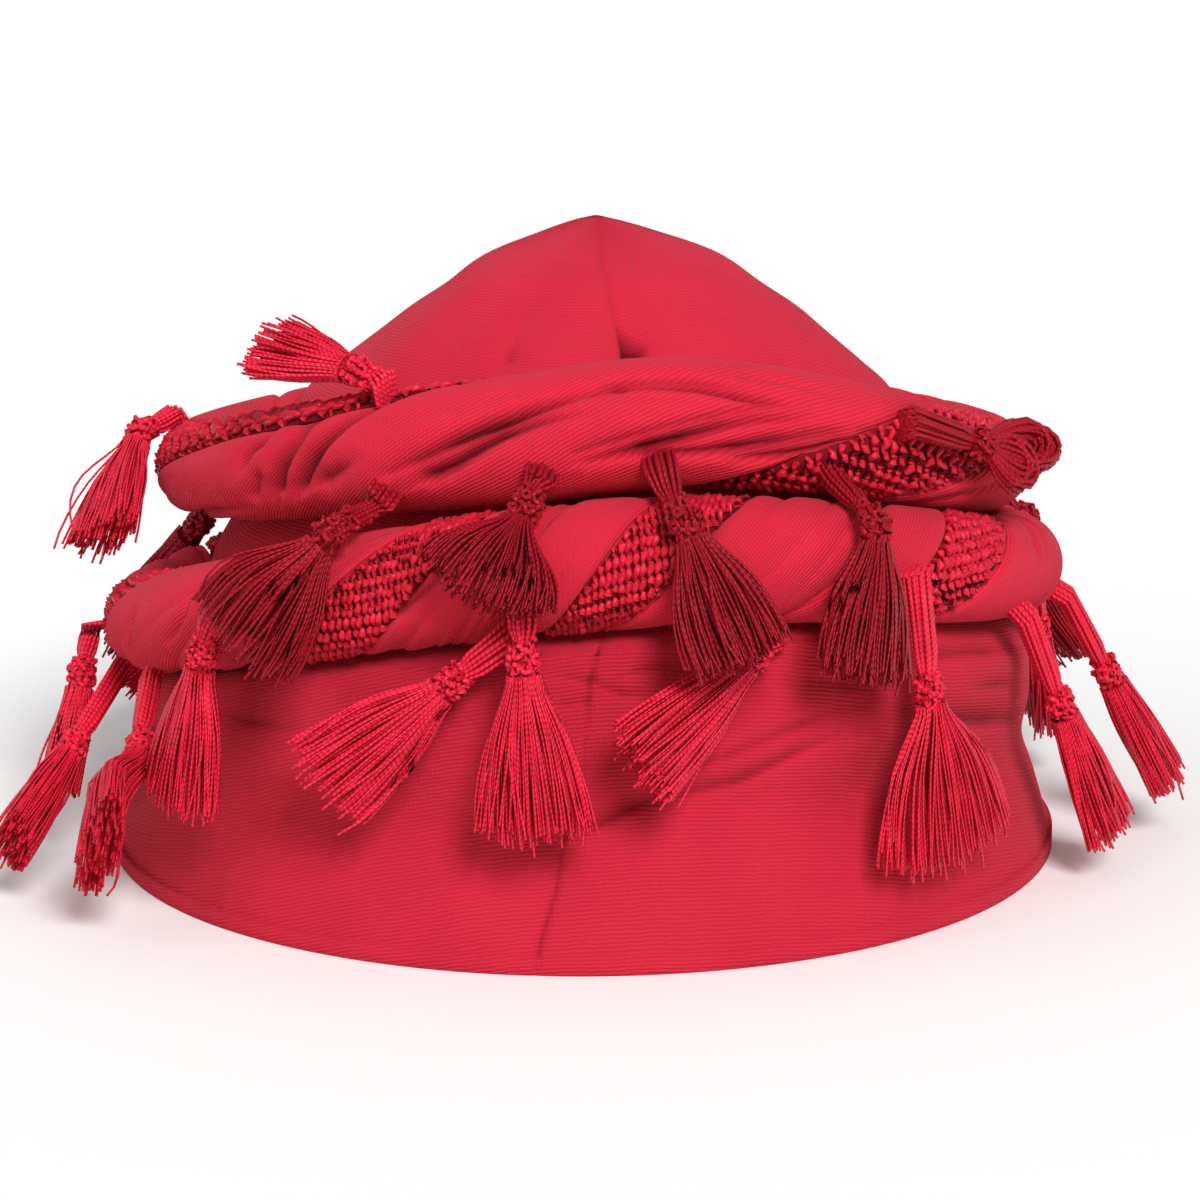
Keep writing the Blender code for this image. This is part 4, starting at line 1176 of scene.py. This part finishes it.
def neck(frames, row, draw):
    """Strands that start in the trim, flare out of it and run through the knot."""
    roll, angle, section = row[0], np.float64(row[1]), row[2]
    at = np.linspace(0, KNOT_END, 9)[None, :]
    number = np.arange(NECK_STRANDS)
    out = np.sqrt((number + 0.6) / NECK_STRANDS)[:, None]
    turn = 2 * np.pi * (number * GOLDEN_TURN)[:, None] + 0.35 * at
    flare = 1 + 0.75 * np.exp(-1.1 * at)
    tight = np.where(at > 1.0, 0.62, 0.9)
    spot, across, thick, wide, deep = frames_at(frames, at + 0 * turn)
    aside = out * np.cos(turn) * flare * tight * wide
    paths = beside(spot, across, thick, aside, out * np.sin(turn) * tight * deep)
    root = on_roll(roll, angle, section, -ROOT_DEPTH)
    seat = paths[:, :1] - spot[:, :1] + root
    paths = np.concatenate([seat, (seat + paths[:, :1]) / 2, paths], axis=1)
    return threads_of(paths, np.full(paths.shape[:2], STRAND_RADIUS), 4, draw)


def knot(frames, draw):
    """Small loops of cord, heaped round the tassel's middle line."""
    count = KNOT_LOOPS
    where = np.linspace(1.35, 2.75, count) + draw.uniform(-0.12, 0.12, count)
    spot, across, thick, wide, deep = frames_at(frames, where)
    spin = 2 * np.pi * (np.arange(count) * GOLDEN_TURN)
    aside, inwards = np.cos(spin) * wide * 0.70, np.sin(spin) * deep * 0.70
    middle = beside(spot, across, thick, aside, inwards)
    axis = unit(middle - spot)
    way = unit(np.cross(axis, across + draw.normal(0, 0.5, (count, 3))) + 1e-9)
    other = np.cross(axis, way)
    turn = 2 * np.pi * np.arange(9) / 9
    size = draw.uniform(0.0009, 0.0014, count)[:, None, None]
    paths = middle[:, None] + size * (
        way[:, None] * np.cos(turn)[:, None] + other[:, None] * np.sin(turn)[:, None] * 0.75
        + axis[:, None] * (0.35 * np.cos(2 * turn))[:, None]
    )
    paths = np.concatenate([paths, paths[:, :1]], axis=1)
    return tubes(paths, np.full(paths.shape[:2], KNOT_CORD), 5)


def tassel(number, row, others):
    """A tassel's threads as one piece. Those of the upper roll are dark floss, darker also as
    painted shade, but for two.
    """
    frames = tassel_frames(row, others)
    draw = np.random.default_rng([SEED, 100 + number])
    fine = row[0] == "upper" and number not in BRIGHT_UPPER
    if number == LOOPED:
        threads = loops(frames, draw)
    else:
        threads = skirt(frames, "fine" if fine else "plain", draw)
    points, faces, uv = joined([threads, neck(frames, row, draw), knot(frames, draw)])
    material = DARK_AND_SHADED_FLOSS if fine else BRIGHT_THREAD
    return mesh_piece(f"tassel_threads_{number:02d}", points, faces, material, uv)


def main():
    crown = crown_cap()
    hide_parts("crown_cap")
    band = head_band()
    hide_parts("head_band")
    made = [crown, band]
    for name in ROLLS_TO_WIND:
        cloth = roll_cloth(name)
        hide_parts(f"{name}_roll")
        knots = trim(name)
        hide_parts(f"{name}_trim")
        ribbon = shade_ribbon(name)
        made += [cloth, knots, ribbon]
    others = []
    for number, row in enumerate(TASSELS, start=1):
        threads = tassel(number, row, others)
        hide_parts(f"tassel_{number:02d}")
        made.append(threads)
    for piece in made:
        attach(piece, "root")


def middle_lines():
    """Points of each roll's middle line with its thickness there."""
    lines = {}
    for roll in ("lower", "upper"):
        angles = np.arange(-180.0, 180.0, LINE_STEP)
        radius, height, thick = roll_line(roll, angles)
        lines[roll] = (place(angles, radius, height), thick)
    return lines


MIDDLE_LINES = middle_lines()
main()


# Stage, camera and light

CAMERA_TARGET = (0.00347, 0.0, 0.04806)
CAMERA_DISTANCE = 1.0
CAMERA_ELEVATION = 13.45
CAMERA_LENS = 149.1


def stage():
    floor_mesh = bpy.data.meshes.new("floor")
    floor_mesh.from_pydata([(-4, -4, 0), (4, -4, 0), (4, 6, 0), (-4, 6, 0)], [], [(0, 1, 2, 3)])
    nodes = Nodes("floor")
    pale = {"Base Color": (0.93, 0.93, 0.93, 1), "Roughness": 0.95, "Specular IOR Level": 0.1}
    nodes.set(pale)
    floor_mesh.materials.append(nodes.material)
    floor = bpy.data.objects.new("floor", floor_mesh)
    bpy.context.scene.collection.objects.link(floor)


def sun(name, energy, spread, towards):
    """A light from this way, spread over so many degrees."""
    data = bpy.data.lights.new(name, "SUN")
    data.energy = energy
    data.angle = math.radians(spread)
    light = bpy.data.objects.new(name, data)
    light.rotation_euler = Vector(towards).to_track_quat("Z", "Y").to_euler()
    bpy.context.scene.collection.objects.link(light)


def lights():
    world = bpy.data.worlds.new("studio")
    world.use_nodes = True
    background = world.node_tree.nodes["Background"]
    background.inputs[0].default_value = (1.0, 1.0, 1.0, 1)
    background.inputs[1].default_value = 0.42
    bpy.context.scene.world = world
    sun("key", 3.0, 20, (0.30, -1.00, 0.80))
    sun("fill", 0.55, 60, (-1.0, -0.7, 0.8))


def camera():
    data = bpy.data.cameras.new("camera")
    data.lens = CAMERA_LENS
    data.sensor_width = 36
    data.clip_start = 0.05
    lift = math.radians(CAMERA_ELEVATION)
    back = Vector((0, -math.cos(lift), math.sin(lift)))
    made = bpy.data.objects.new("camera", data)
    made.location = Vector(CAMERA_TARGET) + back * CAMERA_DISTANCE
    made.rotation_euler = (-back).to_track_quat("-Z", "Y").to_euler()
    bpy.context.scene.collection.objects.link(made)
    bpy.context.scene.camera = made


stage()
lights()
camera()
bpy.context.scene.view_settings.view_transform = "Standard"
